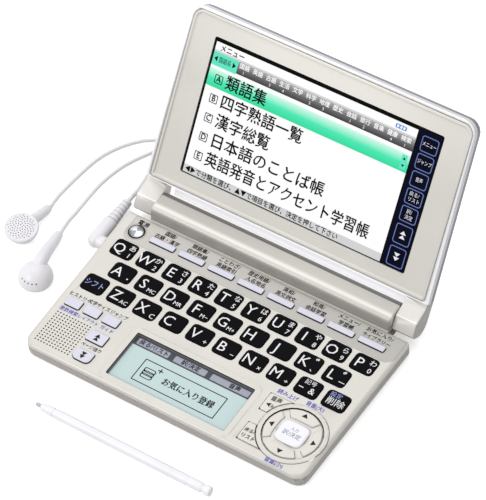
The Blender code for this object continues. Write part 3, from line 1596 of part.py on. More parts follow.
# Earbuds: a round driver housing with a grille side and a domed back, and a hollow-looking stem.
bud_radius = BUD_DIAMETER / 2
stem_radius = STEM_DIAMETER / 2
stem_tip = STEM_TIP_DIAMETER / 2
branch_radius = BRANCH_DIAMETER / 2
bud_shares = (
    (0.0, 0.0),
    (0.30, 0.01),
    (0.52, 0.08),
    (0.72, 0.24),
    (0.90, 0.45),
    (0.99, 0.58),
    (1.0, 0.68),
    (0.95, 0.78),
    (0.82, 0.89),
    (0.50, 0.975),
    (0.0, 1.0),
)


def tube_between(points, radii, sides):
    """A straight-ringed tube through points in one vertical plane, with its own radius at each."""
    rings = []
    for index, point in enumerate(points):
        before = points[max(index - 1, 0)]
        after = points[min(index + 1, len(points) - 1)]
        along = (after - before).normalized()
        side = along.cross(Vector((0.0, 0.0, 1.0))).normalized()
        upward = side.cross(along)
        rings.append(
            [
                point
                + side * (radii[index] * math.cos(math.tau * (step + 0.5) / sides))
                + upward * (radii[index] * math.sin(math.tau * (step + 0.5) / sides))
                for step in range(sides)
            ]
        )
    return loft(rings)


def earbud(name, centre, stem_end, grille_up):
    """A bud lying on its grille or its back, its stem running down to the table."""
    profile = [(share * bud_radius, rise * BUD_HEIGHT) for share, rise in bud_shares]
    if not grille_up:
        profile = [(radius, BUD_HEIGHT - height) for radius, height in reversed(profile)]
    bud = piece(name, turned(profile, 20), EAR_WHITE, location=(centre.x, centre.y, 0.0))
    away = (stem_end - centre).normalized()
    root_height = BUD_HEIGHT * (0.36 if grille_up else 0.60)
    root_place = Vector((centre.x, centre.y, root_height)) + away.to_3d() * (bud_radius * 0.35)
    knee = Vector((centre.x, centre.y, 0.0)) + away.to_3d() * (bud_radius * 1.15)
    knee.z = stem_radius + (root_height - stem_radius) * 0.45
    tip = Vector((stem_end.x, stem_end.y, stem_tip))
    middle = knee.lerp(tip, 0.5)
    middle.z = max(middle.z, stem_radius)
    stem = tube_between(
        [root_place, knee, middle, tip],
        [stem_radius, stem_radius, stem_radius, stem_tip],
        12,
    )
    shifted(stem, (-centre.x, -centre.y, 0.0))
    combine(
        bud,
        helper(name + "_stem", stem, location=(centre.x, centre.y, 0.0)),
        "UNION",
    )
    leave = (tip - middle).normalized()
    leave.z = 0.0
    leave.normalize()
    return tip + leave * FIT_GAP + Vector((0.0, 0.0, branch_radius - stem_tip)), leave


left_start, left_leave = earbud(
    "left_earbud",
    Vector((PLUG_AXIS_X - LEFT_BUD_FROM_PLUG, JACK_Y - LEFT_BUD_BEFORE_JACK)),
    Vector((PLUG_AXIS_X - LEFT_STEM_FROM_PLUG, JACK_Y + LEFT_STEM_BEHIND_JACK)),
    True,
)
right_start, right_leave = earbud(
    "right_earbud",
    Vector((PLUG_AXIS_X - RIGHT_BUD_FROM_PLUG, JACK_Y - RIGHT_BUD_BEFORE_JACK)),
    Vector((PLUG_AXIS_X - RIGHT_STEM_FROM_PLUG, JACK_Y - RIGHT_STEM_BEFORE_JACK)),
    False,
)
branch_space = BRANCH_DIAMETER / 2 + FIT_GAP
left_route = [
    left_start,
    left_start + left_leave * 2 * BRANCH_DIAMETER,
    Vector((-112.1 * MM, 80.3 * MM, branch_radius)),
    Vector((-111.8 * MM, 88.0 * MM, branch_radius)),
    Vector((-111.0 * MM, 97.2 * MM, branch_radius)),
    Vector((-109.0 * MM, 110.4 * MM, branch_radius)),
    Vector((-104.4 * MM, 121.2 * MM, branch_radius)),
    Vector((-98.0 * MM, 129.5 * MM, branch_radius)),
    Vector((-92.0 * MM, 134.0 * MM, branch_radius)),
    Vector((-76.0 * MM, 147.0 * MM, branch_radius)),
    Vector((-50.0 * MM, 166.0 * MM, branch_radius)),
    Vector((-20.0 * MM, 180.0 * MM, branch_radius)),
    Vector((12.0 * MM, 180.5 * MM, branch_radius)),
    Vector((36.0 * MM, 169.0 * MM, branch_radius)),
    Vector((46.0 * MM, 151.0 * MM, branch_radius)),
    Vector((41.5 * MM, 137.6 * MM, branch_radius)),
    Vector((splitter_end + FIT_GAP + 2 * BRANCH_DIAMETER, coil_end.y - branch_space, branch_radius)),
    Vector((splitter_end + FIT_GAP, coil_end.y - branch_space, branch_radius)),
]
right_route = [
    right_start,
    right_start + right_leave * 2 * BRANCH_DIAMETER,
    Vector((-99.5 * MM, 71.0 * MM, branch_radius)),
    Vector((-99.3 * MM, 77.0 * MM, branch_radius)),
    Vector((-99.5 * MM, 88.0 * MM, branch_radius)),
    Vector((-99.1 * MM, 99.9 * MM, branch_radius)),
    Vector((-96.3 * MM, 112.4 * MM, branch_radius)),
    Vector((-91.7 * MM, 122.4 * MM, branch_radius)),
    Vector((-86.5 * MM, 130.0 * MM, branch_radius)),
    Vector((-72.0 * MM, 142.0 * MM, branch_radius)),
    Vector((-47.0 * MM, 159.5 * MM, branch_radius)),
    Vector((-19.0 * MM, 173.5 * MM, branch_radius)),
    Vector((10.0 * MM, 174.0 * MM, branch_radius)),
    Vector((29.0 * MM, 164.5 * MM, branch_radius)),
    Vector((38.0 * MM, 150.5 * MM, branch_radius)),
    Vector((36.0 * MM, 140.6 * MM, branch_radius)),
    Vector((splitter_end + FIT_GAP + 2 * BRANCH_DIAMETER, coil_end.y + branch_space, branch_radius)),
    Vector((splitter_end + FIT_GAP, coil_end.y + branch_space, branch_radius)),
]
left_points, left_length = smooth_route(left_route, 3.0 * BRANCH_DIAMETER)
right_points, right_length = smooth_route(right_route, 3.0 * BRANCH_DIAMETER)
cord("left_lead", left_points, BRANCH_DIAMETER, 2, CORD_WHITE)
cord("right_lead", right_points, BRANCH_DIAMETER, 2, CORD_WHITE)
print(
    "leads in mm: main %.0f, coil %.0f, left %.0f, right %.0f"
    % (main_length / MM, coil_length / MM, left_length / MM, right_length / MM)
)

# The root empty carries everything so that the origin lies under the middle of the dictionary and
# its stylus: halfway from the front of the stylus to the rear edge of the open lid.
bpy.context.view_layer.update()
evaluated_cover = lid_cover.evaluated_get(bpy.context.evaluated_depsgraph_get())
cover_mesh = evaluated_cover.to_mesh()
lid_rear = max((evaluated_cover.matrix_world @ vertex.co).y for vertex in cover_mesh.vertices)
evaluated_cover.to_mesh_clear()
front_end = STYLUS_Y - stylus_radius
middle_y = (front_end + lid_rear) / 2
root.location = (0.0, -middle_y, 0.0)
bpy.context.view_layer.update()
print("origin lies %.4f mm behind the front edge of the base" % (middle_y / MM))
print("hinge axis at y %.4f mm, z %.4f mm" % ((HINGE_Y - middle_y) / MM, HINGE_HEIGHT / MM))
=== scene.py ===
"""Clamshell pocket electronic dictionary, open on a table with its stylus and its wired earphones.

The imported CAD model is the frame. Sizes on the base are counted from the middle of its front edge, and
sizes on the lid from the hinge axis: up the lid, and out of its display side.
"""
import json
import math

import bmesh
import bpy
from mathutils import Matrix, Vector

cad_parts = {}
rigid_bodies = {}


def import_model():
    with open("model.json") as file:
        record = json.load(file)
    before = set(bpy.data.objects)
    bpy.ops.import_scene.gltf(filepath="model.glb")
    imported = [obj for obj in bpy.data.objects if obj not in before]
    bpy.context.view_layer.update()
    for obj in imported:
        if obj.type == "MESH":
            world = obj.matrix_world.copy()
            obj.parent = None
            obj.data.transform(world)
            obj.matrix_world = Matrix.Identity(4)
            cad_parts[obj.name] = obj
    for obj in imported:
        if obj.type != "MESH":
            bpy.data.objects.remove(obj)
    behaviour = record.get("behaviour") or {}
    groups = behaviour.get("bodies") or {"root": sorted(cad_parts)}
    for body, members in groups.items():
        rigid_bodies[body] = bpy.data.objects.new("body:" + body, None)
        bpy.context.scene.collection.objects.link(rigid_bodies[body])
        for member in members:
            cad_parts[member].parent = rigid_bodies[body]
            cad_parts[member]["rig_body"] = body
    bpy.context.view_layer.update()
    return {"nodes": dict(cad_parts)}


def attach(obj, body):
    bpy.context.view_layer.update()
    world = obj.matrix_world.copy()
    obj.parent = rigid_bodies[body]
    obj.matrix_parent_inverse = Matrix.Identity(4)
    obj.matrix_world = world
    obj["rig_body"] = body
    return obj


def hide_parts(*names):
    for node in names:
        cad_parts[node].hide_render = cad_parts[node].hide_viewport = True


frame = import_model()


# Studio: a white table top, three soft lamps over it and a pale surround. The camera looks down on the
# dictionary from its front left corner through a long lens.
MM = 0.001
FRONT_EDGE_Y = -65.0137 * MM


class Wire:
    """A value in a node tree. Sums of wires add their Math nodes; node() adds any other one."""

    def __init__(self, tree, socket=None):
        self.tree = tree
        self.socket = socket

    def node(self, kind, sockets=None, out=0, stops=None, **settings):
        made = self.tree.nodes.new(kind)
        for name, value in settings.items():
            setattr(made, name, value)
        if stops:
            marks = made.color_ramp.elements
            while len(marks) < len(stops):
                marks.new(1.0)
            for mark, (place, colour) in zip(marks, stops):
                mark.position = place
                mark.color = (*colour, 1.0)
        for key, value in (sockets or {}).items():
            if isinstance(value, Wire):
                self.tree.links.new(value.socket, made.inputs[key])
            else:
                made.inputs[key].default_value = value
        return Wire(self.tree, made.outputs[out])

    def other(self, out):
        """Another output of the same node."""
        return Wire(self.tree, self.socket.node.outputs[out])

    def sum(self, operation, first, second=0.0):
        return self.node("ShaderNodeMath", {0: first, 1: second}, operation=operation)

    def __add__(self, other):
        return self.sum("ADD", self, other)

    __radd__ = __add__

    def __sub__(self, other):
        return self.sum("SUBTRACT", self, other)

    def __rsub__(self, other):
        return self.sum("SUBTRACT", other, self)

    def __mul__(self, other):
        return self.sum("MULTIPLY", self, other)

    __rmul__ = __mul__

    def __abs__(self):
        return self.sum("ABSOLUTE", self)

    def at_least(self, other):
        return self.sum("MAXIMUM", self, other)

    def ramp(self, low, high, start=0.0, end=1.0):
        """Eases from start to end while this value goes from low to high."""
        return self.node(
            "ShaderNodeMapRange",
            {"Value": self, "From Min": low, "From Max": high, "To Min": start, "To Max": end},
            interpolation_type="SMOOTHSTEP",
        )

    def blend(self, first, second):
        """The colour first where this value is 0, and second where it is 1."""
        colours = [c if isinstance(c, Wire) else (*c, 1.0) for c in (first, second)]
        return self.node(
            "ShaderNodeMix", {0: self, 6: colours[0], 7: colours[1]}, out=2, data_type="RGBA"
        )

    def here(self):
        """The piece's own coordinates, on which every finish is laid."""
        return self.node("ShaderNodeTexCoord", out="Object")

    def split(self):
        """The three parts of a vector."""
        first = self.node("ShaderNodeSeparateXYZ", {0: self}, out=0)
        return first, first.other(1), first.other(2)

    def noise(self, size, detail=2.0):
        """Noise with lumps of about that size, in metres."""
        return self.node("ShaderNodeTexNoise", {"Vector": self.here(), "Scale": 1 / size, "Detail": detail})

    def bump(self, strength, distance):
        """The normal over this height."""
        return self.node("ShaderNodeBump", {"Height": self, "Strength": strength, "Distance": distance})


def finish(name, wiring, **fixed):
    """A Principled material. Even values sit on the shader's own sockets, wiring gives the others."""
    made = bpy.data.materials.new(name)
    made.use_nodes = True
    shader = made.node_tree.nodes["Principled BSDF"]
    for socket, value in fixed.items():
        shader.inputs[socket.replace("_", " ").title().replace("Ior", "IOR")].default_value = value
    for socket, wire in wiring(Wire(made.node_tree)).items():
        made.node_tree.links.new(wire.socket, shader.inputs[socket])
    made.diffuse_color = (0.6, 0.6, 0.6, 1.0)
    return made


def table_paint(draw):
    seen = draw.node("ShaderNodeLightPath", out="Is Camera Ray")
    mirrored = seen.other("Is Glossy Ray") + seen.other("Is Transmission Ray")
    shown = seen.at_least(mirrored)
    mottle = draw.noise(120 * MM).ramp(0.3, 0.7)
    grey = mottle.blend((0.70, 0.70, 0.70), (0.74, 0.74, 0.74))
    white = (1.0, 1.0, 1.0)
    return {
        "Base Color": shown.blend(grey, white),
        "Emission Color": seen.blend((0.0, 0.0, 0.0), white),
    }


def linked(name, data):
    """A new object in the scene's collection."""
    made = bpy.data.objects.new(name, data)
    bpy.context.scene.collection.objects.link(made)
    return made


def mesh_of(name, shape, looks):
    """A bmesh as a mesh with its looks. The bmesh is used up."""
    mesh = bpy.data.meshes.new(name)
    shape.to_mesh(mesh)
    shape.free()
    for look in looks:
        mesh.materials.append(look)
    return mesh


table_mesh = bmesh.new()
bmesh.ops.create_grid(table_mesh, x_segments=8, y_segments=8, size=3.0)
table_white = finish("table_white", table_paint, roughness=0.9, emission_strength=0.45)
table_top = linked("table_top", mesh_of("table_top", table_mesh, [table_white]))

surround = bpy.data.worlds.new("pale_surround")
bpy.context.scene.world = surround
surround.use_nodes = True
sky = Wire(surround.node_tree)
ray = sky.node("ShaderNodeLightPath", out="Is Camera Ray")
seen_white = ray.at_least(ray.other("Is Glossy Ray")).at_least(ray.other("Is Transmission Ray"))
backdrop = surround.node_tree.nodes["Background"]
backdrop.inputs["Color"].default_value = (1.0, 1.0, 1.0, 1.0)
surround.node_tree.links.new(seen_white.ramp(0.0, 1.0, 0.64, 1.0).socket, backdrop.inputs["Strength"])

for name, place, aim, width, power in (
    ("softbox_over", (-0.35, 0.45, 1.25), (0.0, 0.0, 0.0), 1.1, 5.4),
    ("softbox_left", (-1.2, -0.5, 0.7), (0.0, 0.0, 0.02), 0.8, 1.2),
    ("softbox_front", (-0.56, -1.0, 0.95), (0.0, 0.0, 0.03), 0.4, 5.8),
):
    lamp = bpy.data.lights.new(name, "AREA")
    lamp.shape = "SQUARE"
    lamp.size = width
    lamp.energy = power
    softbox = linked(name, lamp)
    softbox.location = place
    softbox.rotation_euler = (Vector(aim) - Vector(place)).to_track_quat("-Z", "Y").to_euler()

camera_lens = bpy.data.cameras.new("camera")
camera_lens.lens = 224.64
camera_lens.sensor_width = 36.0
camera_lens.clip_start = 0.05
camera_lens.clip_end = 40.0
camera = linked("camera", camera_lens)
camera.matrix_world = Matrix(
    (
        (0.83893054, -0.39453266, 0.37488603, 0.512179),
        (0.54195883, 0.66859645, -0.50917522, -0.6900217),
        (-0.04976121, 0.63033544, 0.77472644, 1.101952),
        (0.0, 0.0, 0.0, 1.0),
    )
)
bpy.context.scene.camera = camera
bpy.context.scene.view_settings.view_transform = "Standard"


# Lower case: a grey moulded tray under the keyboard and the lower half of the hinge barrel. Round
# rubber feet are fused to it, and four cross-head screws hold it to the deck from below.
UNDERSIDE = 0.8


def toned(colour, share):
    """The colour at that share of its lightness, and never over white."""
    return [min(part * share, 1.0) for part in colour]


def moulded(name, colour, roughness, grain=0.35 * MM, depth=0.10, drift=0.03, **fixed):
    """Moulded or painted plastic: a fine grain, faint handling in its gloss, a slow drift of colour."""

    def wiring(draw):
        slow = draw.noise(28 * MM).ramp(0.3, 0.7)
        return {
            "Base Color": slow.blend(toned(colour, 1 - drift), toned(colour, 1 + drift)),
            "Roughness": draw.noise(9 * MM, 4.0) * (0.16 * roughness) + (roughness * 0.92),
            "Normal": draw.noise(grain, 3.0).bump(depth, 0.05 * MM),
        }

    return finish(name, wiring, **fixed)


def make(name, shape, looks, body, stands_for=(), sharp=33.0):
    """Turns a bmesh into a finished piece: smooth below an angle, and riding on its body."""
    mesh = mesh_of(name, shape, looks)
    mesh.shade_smooth()
    mesh.set_sharp_from_angle(angle=math.radians(sharp))
    made = linked(name, mesh)
    even = made.modifiers.new("even_shading", "WEIGHTED_NORMAL")
    even.keep_sharp = True
    if stands_for:
        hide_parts(*stands_for)
    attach(made, body)
    return made


def merged(node):
    """A copy of a CAD solid's mesh with its loose triangles joined."""
    shape = bmesh.new()
    shape.from_mesh(frame["nodes"][node].data)
    bmesh.ops.remove_doubles(shape, verts=shape.verts[:], dist=0.002 * MM)
    for face in shape.faces:
        face.material_index = 0
    return shape


def refinished(node, name, looks, sharp=33.0):
    """The CAD solid's own shape, joined and shaded smooth, in its new finish."""
    return make(name, merged(node), looks, frame["nodes"][node]["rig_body"], (node,), sharp)


lower_grey = moulded("lower_case_grey", (0.400, 0.385, 0.362), 0.48, 0.5 * MM, 0.25)
foot_rubber = moulded("foot_rubber", (0.075, 0.075, 0.078), 0.85, 0.3 * MM, 0.5)
tray = merged("bottom_case")
for face in tray.faces:
    if face.calc_center_median().z < (UNDERSIDE - 0.02) * MM:
        face.material_index = 1
make("lower_case", tray, [lower_grey, foot_rubber], "base", ("bottom_case",))


def evaluated(holder):
    """The mesh that an object's modifiers or letters give."""
    ready = holder.evaluated_get(bpy.context.evaluated_depsgraph_get())
    return bpy.data.meshes.new_from_object(ready)


def grown(name, settings, plan, look):
    """A mesh that a Geometry Nodes tree makes; plan() draws the tree from the named settings."""
    tree = bpy.data.node_groups.new(name, "GeometryNodeTree")
    kinds = {int: "NodeSocketInt", float: "NodeSocketFloat", Vector: "NodeSocketVector"}
    sockets = {
        label: tree.interface.new_socket(label, in_out="INPUT", socket_type=kinds[type(value)])
        for label, value in settings.items()
    }
    tree.interface.new_socket("Geometry", in_out="OUTPUT", socket_type="NodeSocketGeometry")
    given = tree.nodes.new("NodeGroupInput")
    drawn = plan(Wire(tree), {label: Wire(tree, given.outputs[label]) for label in settings})
    whole = drawn.node("GeometryNodeRealizeInstances", {0: drawn})
    painted = whole.node("GeometryNodeSetMaterial", {"Geometry": whole, "Material": look})
    tree.links.new(painted.socket, tree.nodes.new("NodeGroupOutput").inputs[0])
    holder = linked(name, bpy.data.meshes.new(name))
    modifier = holder.modifiers.new(name, "NODES")
    modifier.node_group = tree
    for label, value in settings.items():
        modifier[sockets[label].identifier] = value
    mesh = evaluated(holder)
    bpy.data.objects.remove(holder)
    return mesh


def added(shape, mesh, look=0):
    """The shape with a grown mesh beside its own faces."""
    before = len(shape.faces)
    shape.from_mesh(mesh)
    shape.faces.ensure_lookup_table()
    for face in shape.faces[before:]:
        face.material_index = look
    return shape


def spot(x, y, z=0.0):
    """A place on the base, in millimetres from the middle of its front edge, in the row frame."""
    return Vector((x * MM, y * MM + FRONT_EDGE_Y, z * MM))


def cylinder(draw, sides, radius, depth):
    return draw.node("GeometryNodeMeshCylinder", {"Vertices": sides, "Radius": radius, "Depth": depth})


def stamped(points, piece, **settings):
    """The piece at every point."""
    return points.node("GeometryNodeInstanceOnPoints", {"Points": points, "Instance": piece, **settings})


def moved(shape, place):
    return shape.node("GeometryNodeTransform", {"Geometry": shape, "Translation": place})


def case_screws(draw, given):
    """A screw head with a cross cut into it, at each corner of a rectangle."""
    height = given["Head Height"]
    head = cylinder(draw, 24, given["Head Width"] * 0.5, height)
    long_side = given["Head Width"] * 0.62
    short_side = given["Head Width"] * 0.14
    low = draw.node("ShaderNodeCombineXYZ", {2: height * -0.5})
    for width, depth in ((long_side, short_side), (short_side, long_side)):
        size = draw.node("ShaderNodeCombineXYZ", {0: width, 1: depth, 2: height})
        bar = moved(draw.node("GeometryNodeMeshCube", {"Size": size}), low)
        head = draw.node(
            "GeometryNodeMeshBoolean", {"Mesh 1": head, "Mesh 2": bar}, operation="DIFFERENCE"
        )
    corners = draw.node("GeometryNodeMeshGrid", {0: given["Across"], 1: given["Along"], 2: 2, 3: 2})
    return moved(stamped(corners, head), given["Middle"])


screw_steel = moulded("screw_steel", (0.30, 0.30, 0.31), 0.35, metallic=1.0)
screw_settings = {
    "Head Width": 4.2 * MM,
    "Head Height": 0.5 * MM,
    "Across": 131.0 * MM,
    "Along": 57.0 * MM,
    "Middle": spot(0.0, 49.5, UNDERSIDE + 0.02),
}
screws = added(bmesh.new(), grown("case_screws", screw_settings, case_screws, screw_steel))
make("case_screws", screws, [screw_steel], "base")


# Battery door and the two cells that lie end to end in the barrel. The door is a flat grey moulding
# that slides back off the underside, with a ribbed thumb patch; each cell has a printed wrap.
refinished("battery_door", "battery_door_finish", [lower_grey])


def row_of(draw, given):
    """Points in a row with an even step."""
    return draw.node(
        "GeometryNodeMeshLine",
        {"Count": given["Count"], "Start Location": given["First"], "Offset": given["Step"]},
    )


def thumb_ribs(draw, given):
    """A row of low bars across the door."""
    return stamped(row_of(draw, given), draw.node("GeometryNodeMeshCube", {"Size": given["Bar Size"]}))


rib_settings = {
    "Bar Size": Vector((14.0, 0.5, 0.5)) * MM,
    "Count": 6,
    "First": spot(0.0, 92.5, UNDERSIDE + 0.02),
    "Step": Vector((0.0, 1.1, 0.0)) * MM,
}
ribs = added(bmesh.new(), grown("thumb_ribs", rib_settings, thumb_ribs, lower_grey))
make("door_thumb_ribs", ribs, [lower_grey], "battery_door")


def cell_paint(draw):
    x, _, _ = draw.here().split()
    band = abs(x - 0.1 * MM).ramp(30.0 * MM, 30.2 * MM)
    scuff = draw.noise(2.5 * MM, 4.0).ramp(0.4, 0.7)
    wrap = scuff.blend((0.10, 0.11, 0.13), (0.13, 0.14, 0.16))
    return {"Base Color": band.blend(wrap, (0.62, 0.58, 0.45)), "Roughness": scuff * 0.1 + 0.3}


cell_wrap = finish("cell_wrap", cell_paint, metallic=0.5)
for side in ("left", "right"):
    refinished("battery_" + side, "cell_" + side, [cell_wrap])


# Inside the base: the printed board that carries the key switches, the loudspeaker under its holes and
# the earphone jack at the left. They are screwed and clipped into the lower case.
board_green = moulded("board_green", (0.02, 0.12, 0.05), 0.5, 1.5 * MM, 0.3, 0.15)
speaker_black = moulded("speaker_black", (0.015, 0.015, 0.017), 0.6, 0.4 * MM, 0.3)
jack_black = moulded("jack_black", (0.02, 0.02, 0.02), 0.5)
for node, name, look, slot in (
    ("key_board", "key_board_finish", board_green, "key_board"),
    ("speaker", "loudspeaker", speaker_black, "speaker_metal"),
    ("earphone_jack", "jack_housing", jack_black, "black_plastic"),
):
    refinished(node, name, [look])


# Deck: one moulding with the upper half of the hinge barrel, in a champagne pearl paint. The zone
# round the function keys is printed a shade greyer, and the loudspeaker sounds through fine holes.
DECK_TOP = 8.6 * MM
ZONE_MIDDLE = (2.3 * MM, 80.6 * MM)
ZONE_HALF = (71.9 * MM, 8.9 * MM)
ZONE_ROUND = 5.0 * MM


def pearl(name, colour, zone=None, **fixed):
    """Champagne pearl paint over a moulding, in other tones where zone gives masks."""

    def wiring(draw):
        base = draw.noise(35 * MM).ramp(0.3, 0.7).blend(toned(colour, 0.975), toned(colour, 1.025))
        base = draw.noise(0.14 * MM, 1.0).ramp(0.5, 0.9).blend(base, toned(colour, 1.12))
        for mask, tone in zone(draw) if zone else ():
            base = mask.blend(base, toned(colour, tone))
        return {
            "Base Color": base,
            "Roughness": draw.noise(7 * MM, 4.0) * 0.07 + 0.33,
            "Normal": draw.noise(0.3 * MM, 3.0).bump(0.06, 0.04 * MM),
        }

    return finish(name, wiring, **fixed)


def zone_and_barrel_shade(draw):
    """The printed zone round the function keys with its edge, then painted light and shade on the barrel:
    painted shade on its front face, top and foot, a painted highlight on its rounded front edge and a painted
    shadow line at its rear.
    """
    x, y, z = draw.here().split()
    behind = y - FRONT_EDGE_Y
    high = z.ramp(DECK_TOP + 0.05 * MM, DECK_TOP + 0.2 * MM)
    level = z.ramp(DECK_TOP - 0.3 * MM, DECK_TOP - 0.1 * MM) * (1.0 - high)
    across = (abs(x - ZONE_MIDDLE[0]) - (ZONE_HALF[0] - ZONE_ROUND)).at_least(0.0)
    along = (abs(behind - ZONE_MIDDLE[1]) - (ZONE_HALF[1] - ZONE_ROUND)).at_least(0.0)
    reach = draw.sum("SQRT", across * across + along * along) - ZONE_ROUND
    inside = reach.ramp(-0.12 * MM, 0.0, 1.0, 0.0) * x.ramp(-70 * MM, 70 * MM, 0.55, 1.0)
    edge = abs(reach).ramp(0.12 * MM, 0.22 * MM, 1.0, 0.0) * 0.8
    front = behind.ramp(86.6 * MM, 86.8 * MM)
    # Painted shade on the barrel's front face, a painted highlight along its rounded front edge, painted
    # shade on its top (strongest at the left), a painted shadow line at its rear and painted shade in the
    # corner at its foot.
    barrel_front_shade = behind.ramp(88.2 * MM, 90.1 * MM, 1.0, 0.0) * front
    shoulder_highlight = behind.ramp(89.8 * MM, 90.8 * MM) * behind.ramp(91.2 * MM, 92.6 * MM, 1.0, 0.0)
    barrel_top_shade = behind.ramp(91.6 * MM, 93.6 * MM) * x.ramp(-62 * MM, 40 * MM, 1.0, 0.55)
    seam_shadow = behind.ramp(97.7 * MM, 98.1 * MM) * behind.ramp(100.6 * MM, 101.2 * MM, 1.0, 0.0)
    barrel_foot_shade = abs(z - (DECK_TOP + 0.2 * MM)).ramp(0.1 * MM, 0.3 * MM, 1.0, 0.0) * front
    return (
        (inside * level, 0.70),
        (edge * level, 0.55),
        (barrel_front_shade * high, 0.54),
        (shoulder_highlight * high, 1.25),
        (barrel_top_shade * high, 0.74),
        (seam_shadow * high, 0.22),
        (barrel_foot_shade, 0.34),
    )


deck_paint = pearl("deck_pearl", (0.640, 0.615, 0.575), zone_and_barrel_shade, metallic=0.1)
# Near-black painted shade for the deck's underside, the walls of its key holes and the speaker holes.
deck_inside = moulded("deck_inside", (0.018, 0.017, 0.016), 0.75, specular_ior_level=0.2)


def worked(shape, looks, cutter, operation="DIFFERENCE"):
    """The shape with another mesh cut out of it or joined on; each face keeps its own look."""
    body = linked("whole", mesh_of("whole", shape, looks))
    tool = linked("cutter", cutter)
    cut = body.modifiers.new("cut", "BOOLEAN")
    cut.object = tool
    cut.operation = operation
    cut.material_mode = "TRANSFER"
    result = bmesh.new()
    result.from_mesh(evaluated(body))
    for made in (body, tool):
        bpy.data.objects.remove(made)
    return result


def speaker_holes(draw, given):
    """A grid of upright pins, one for each hole over the loudspeaker."""
    across, along = [(given[count] - 1.0) * given["Pitch"] for count in ("Columns", "Rows")]
    grid = draw.node("GeometryNodeMeshGrid", {0: across, 1: along, 2: given["Columns"], 3: given["Rows"]})
    pin = cylinder(draw, 8, given["Hole Width"] * 0.5, given["Depth"])
    return moved(stamped(grid, pin), given["Middle"])


deck_shape = merged("top_case")
# Faces under the deck and the upright walls of its key holes take the painted shade.
for face in deck_shape.faces:
    middle = face.calc_center_median()
    inner = abs(middle.x) < 70.0 * MM and FRONT_EDGE_Y + 3.0 * MM < middle.y < FRONT_EDGE_Y + 86.0 * MM
    if face.normal.z < -0.5 or (inner and middle.z < DECK_TOP and abs(face.normal.z) < 0.5):
        face.material_index = 1
hole_settings = {
    "Columns": 12,
    "Rows": 12,
    "Pitch": 1.60 * MM,
    "Hole Width": 0.80 * MM,
    "Depth": 3.0 * MM,
    "Middle": spot(-60.3, 13.0, 8.2),
}
holes = grown("speaker_holes", hole_settings, speaker_holes, deck_inside)
deck_looks = [deck_paint, deck_inside]
deck_shape = worked(deck_shape, deck_looks, holes)
make("deck_moulding", deck_shape, deck_looks, "base", ("top_case",))


# Handwriting panel: a pale touch panel that lies deep under the deck, ringed by a dark grey liner that is
# painted shade on the window's inner walls. Three soft keys are shown along its far edge, and a boxed button
# in the middle of its writing area.
def lettering(shape, text, size, place, wide=1.0, look=0, heavy=0.0, align="CENTER"):
    """Adds flat printed lettering to a bmesh; heavy widens its strokes by a second strike."""
    curve = bpy.data.curves.new("lettering", "FONT")
    curve.body = text
    curve.size = size * MM
    curve.align_x = align
    curve.align_y = "CENTER"
    curve.resolution_u = 2
    written = linked("lettering", curve)
    flat = evaluated(written)
    if isinstance(place, Vector):
        place = Matrix.Translation(place)
    before = len(shape.faces)
    half = heavy / 2 * MM
    for shift in ((-half, -half, 0.0), (half, half, 0.004 * MM))[: 2 if heavy else 1]:
        copy = flat.copy()
        copy.transform(place @ Matrix.Translation(shift) @ Matrix.Diagonal((wide, 1.0, 1.0, 1.0)))
        shape.from_mesh(copy)
        bpy.data.meshes.remove(copy)
    shape.faces.ensure_lookup_table()
    for face in shape.faces[before:]:
        face.material_index = look
    bpy.data.objects.remove(written)
    bpy.data.curves.remove(curve)
    bpy.data.meshes.remove(flat)


def patch(shape, outline, look=0):
    """Adds one flat face through the outline's points."""
    shape.faces.new([shape.verts.new(point) for point in outline]).material_index = look


def joined(shape, low, high, look=0):
    """Adds the faces between two rings of equally many corners."""
    made = []
    for index in range(len(low)):
        made.append(shape.faces.new((low[index - 1], low[index], high[index], high[index - 1])))
        made[-1].material_index = look
    return made


def frame_line(shape, outer, inner, look=0):
    """Adds a flat band between two outlines of equally many points."""
    joined(shape, *[[shape.verts.new(point) for point in outline] for outline in (outer, inner)], look)


def polar(middle, reach, angle):
    return middle[0] + reach * math.cos(angle), middle[1] + reach * math.sin(angle)


def rounded(x0, x1, y0, y1, radius, steps=4, front=None):
    """A rounded rectangle's outline, anticlockwise; front is the radius of its two near corners."""
    near = radius if front is None else front
    points = []
    for middle, corner, start in (
        ((x1 - near, y0 + near), near, -90),
        ((x1 - radius, y1 - radius), radius, 0),
        ((x0 + radius, y1 - radius), radius, 90),
        ((x0 + near, y0 + near), near, 180),
    ):
        for step in range(steps + 1):
            points.append(polar(middle, corner, math.radians(start + 90 * step / steps)))
    return points


def on_base(outline, z):
    return [spot(x, y, z) for x, y in outline]


def block(shape, place, box, z, look, radius=0.1, steps=1):
    """Adds a flat block; place is on_base or on_lid."""
    patch(shape, place(rounded(*box, radius, steps), z), look)


def box_line(shape, place, box, inset, radii, z, look, steps=2):
    """Adds a line round a box, inset from its edge by its width across and along."""
    x0, x1, y0, y1 = box
    inner = (x0 + inset[0], x1 - inset[0], y0 + inset[1], y1 - inset[1])
    loops = [place(rounded(*edge, radius, steps), z) for edge, radius in zip((box, inner), radii)]
    frame_line(shape, *loops, look)


DOT_PITCH = 0.24 * MM


def shown(name, colour, glow):
    """A colour of a lit display, with its fine grid of picture dots."""

    def wiring(draw):
        x, _, _ = draw.here().split()
        dots = draw.node("ShaderNodeMath", {0: x, 1: DOT_PITCH, 2: 0.0}, operation="PINGPONG")
        lit = dots.ramp(0.0, 0.12 * DOT_PITCH)
        return {"Emission Color": lit.blend(toned(colour, 0.90), colour)}

    return finish(
        name, wiring, base_color=(*toned(colour, 1 - glow), 1.0), roughness=0.4, specular_ior_level=0.03,
        emission_strength=glow,
    )


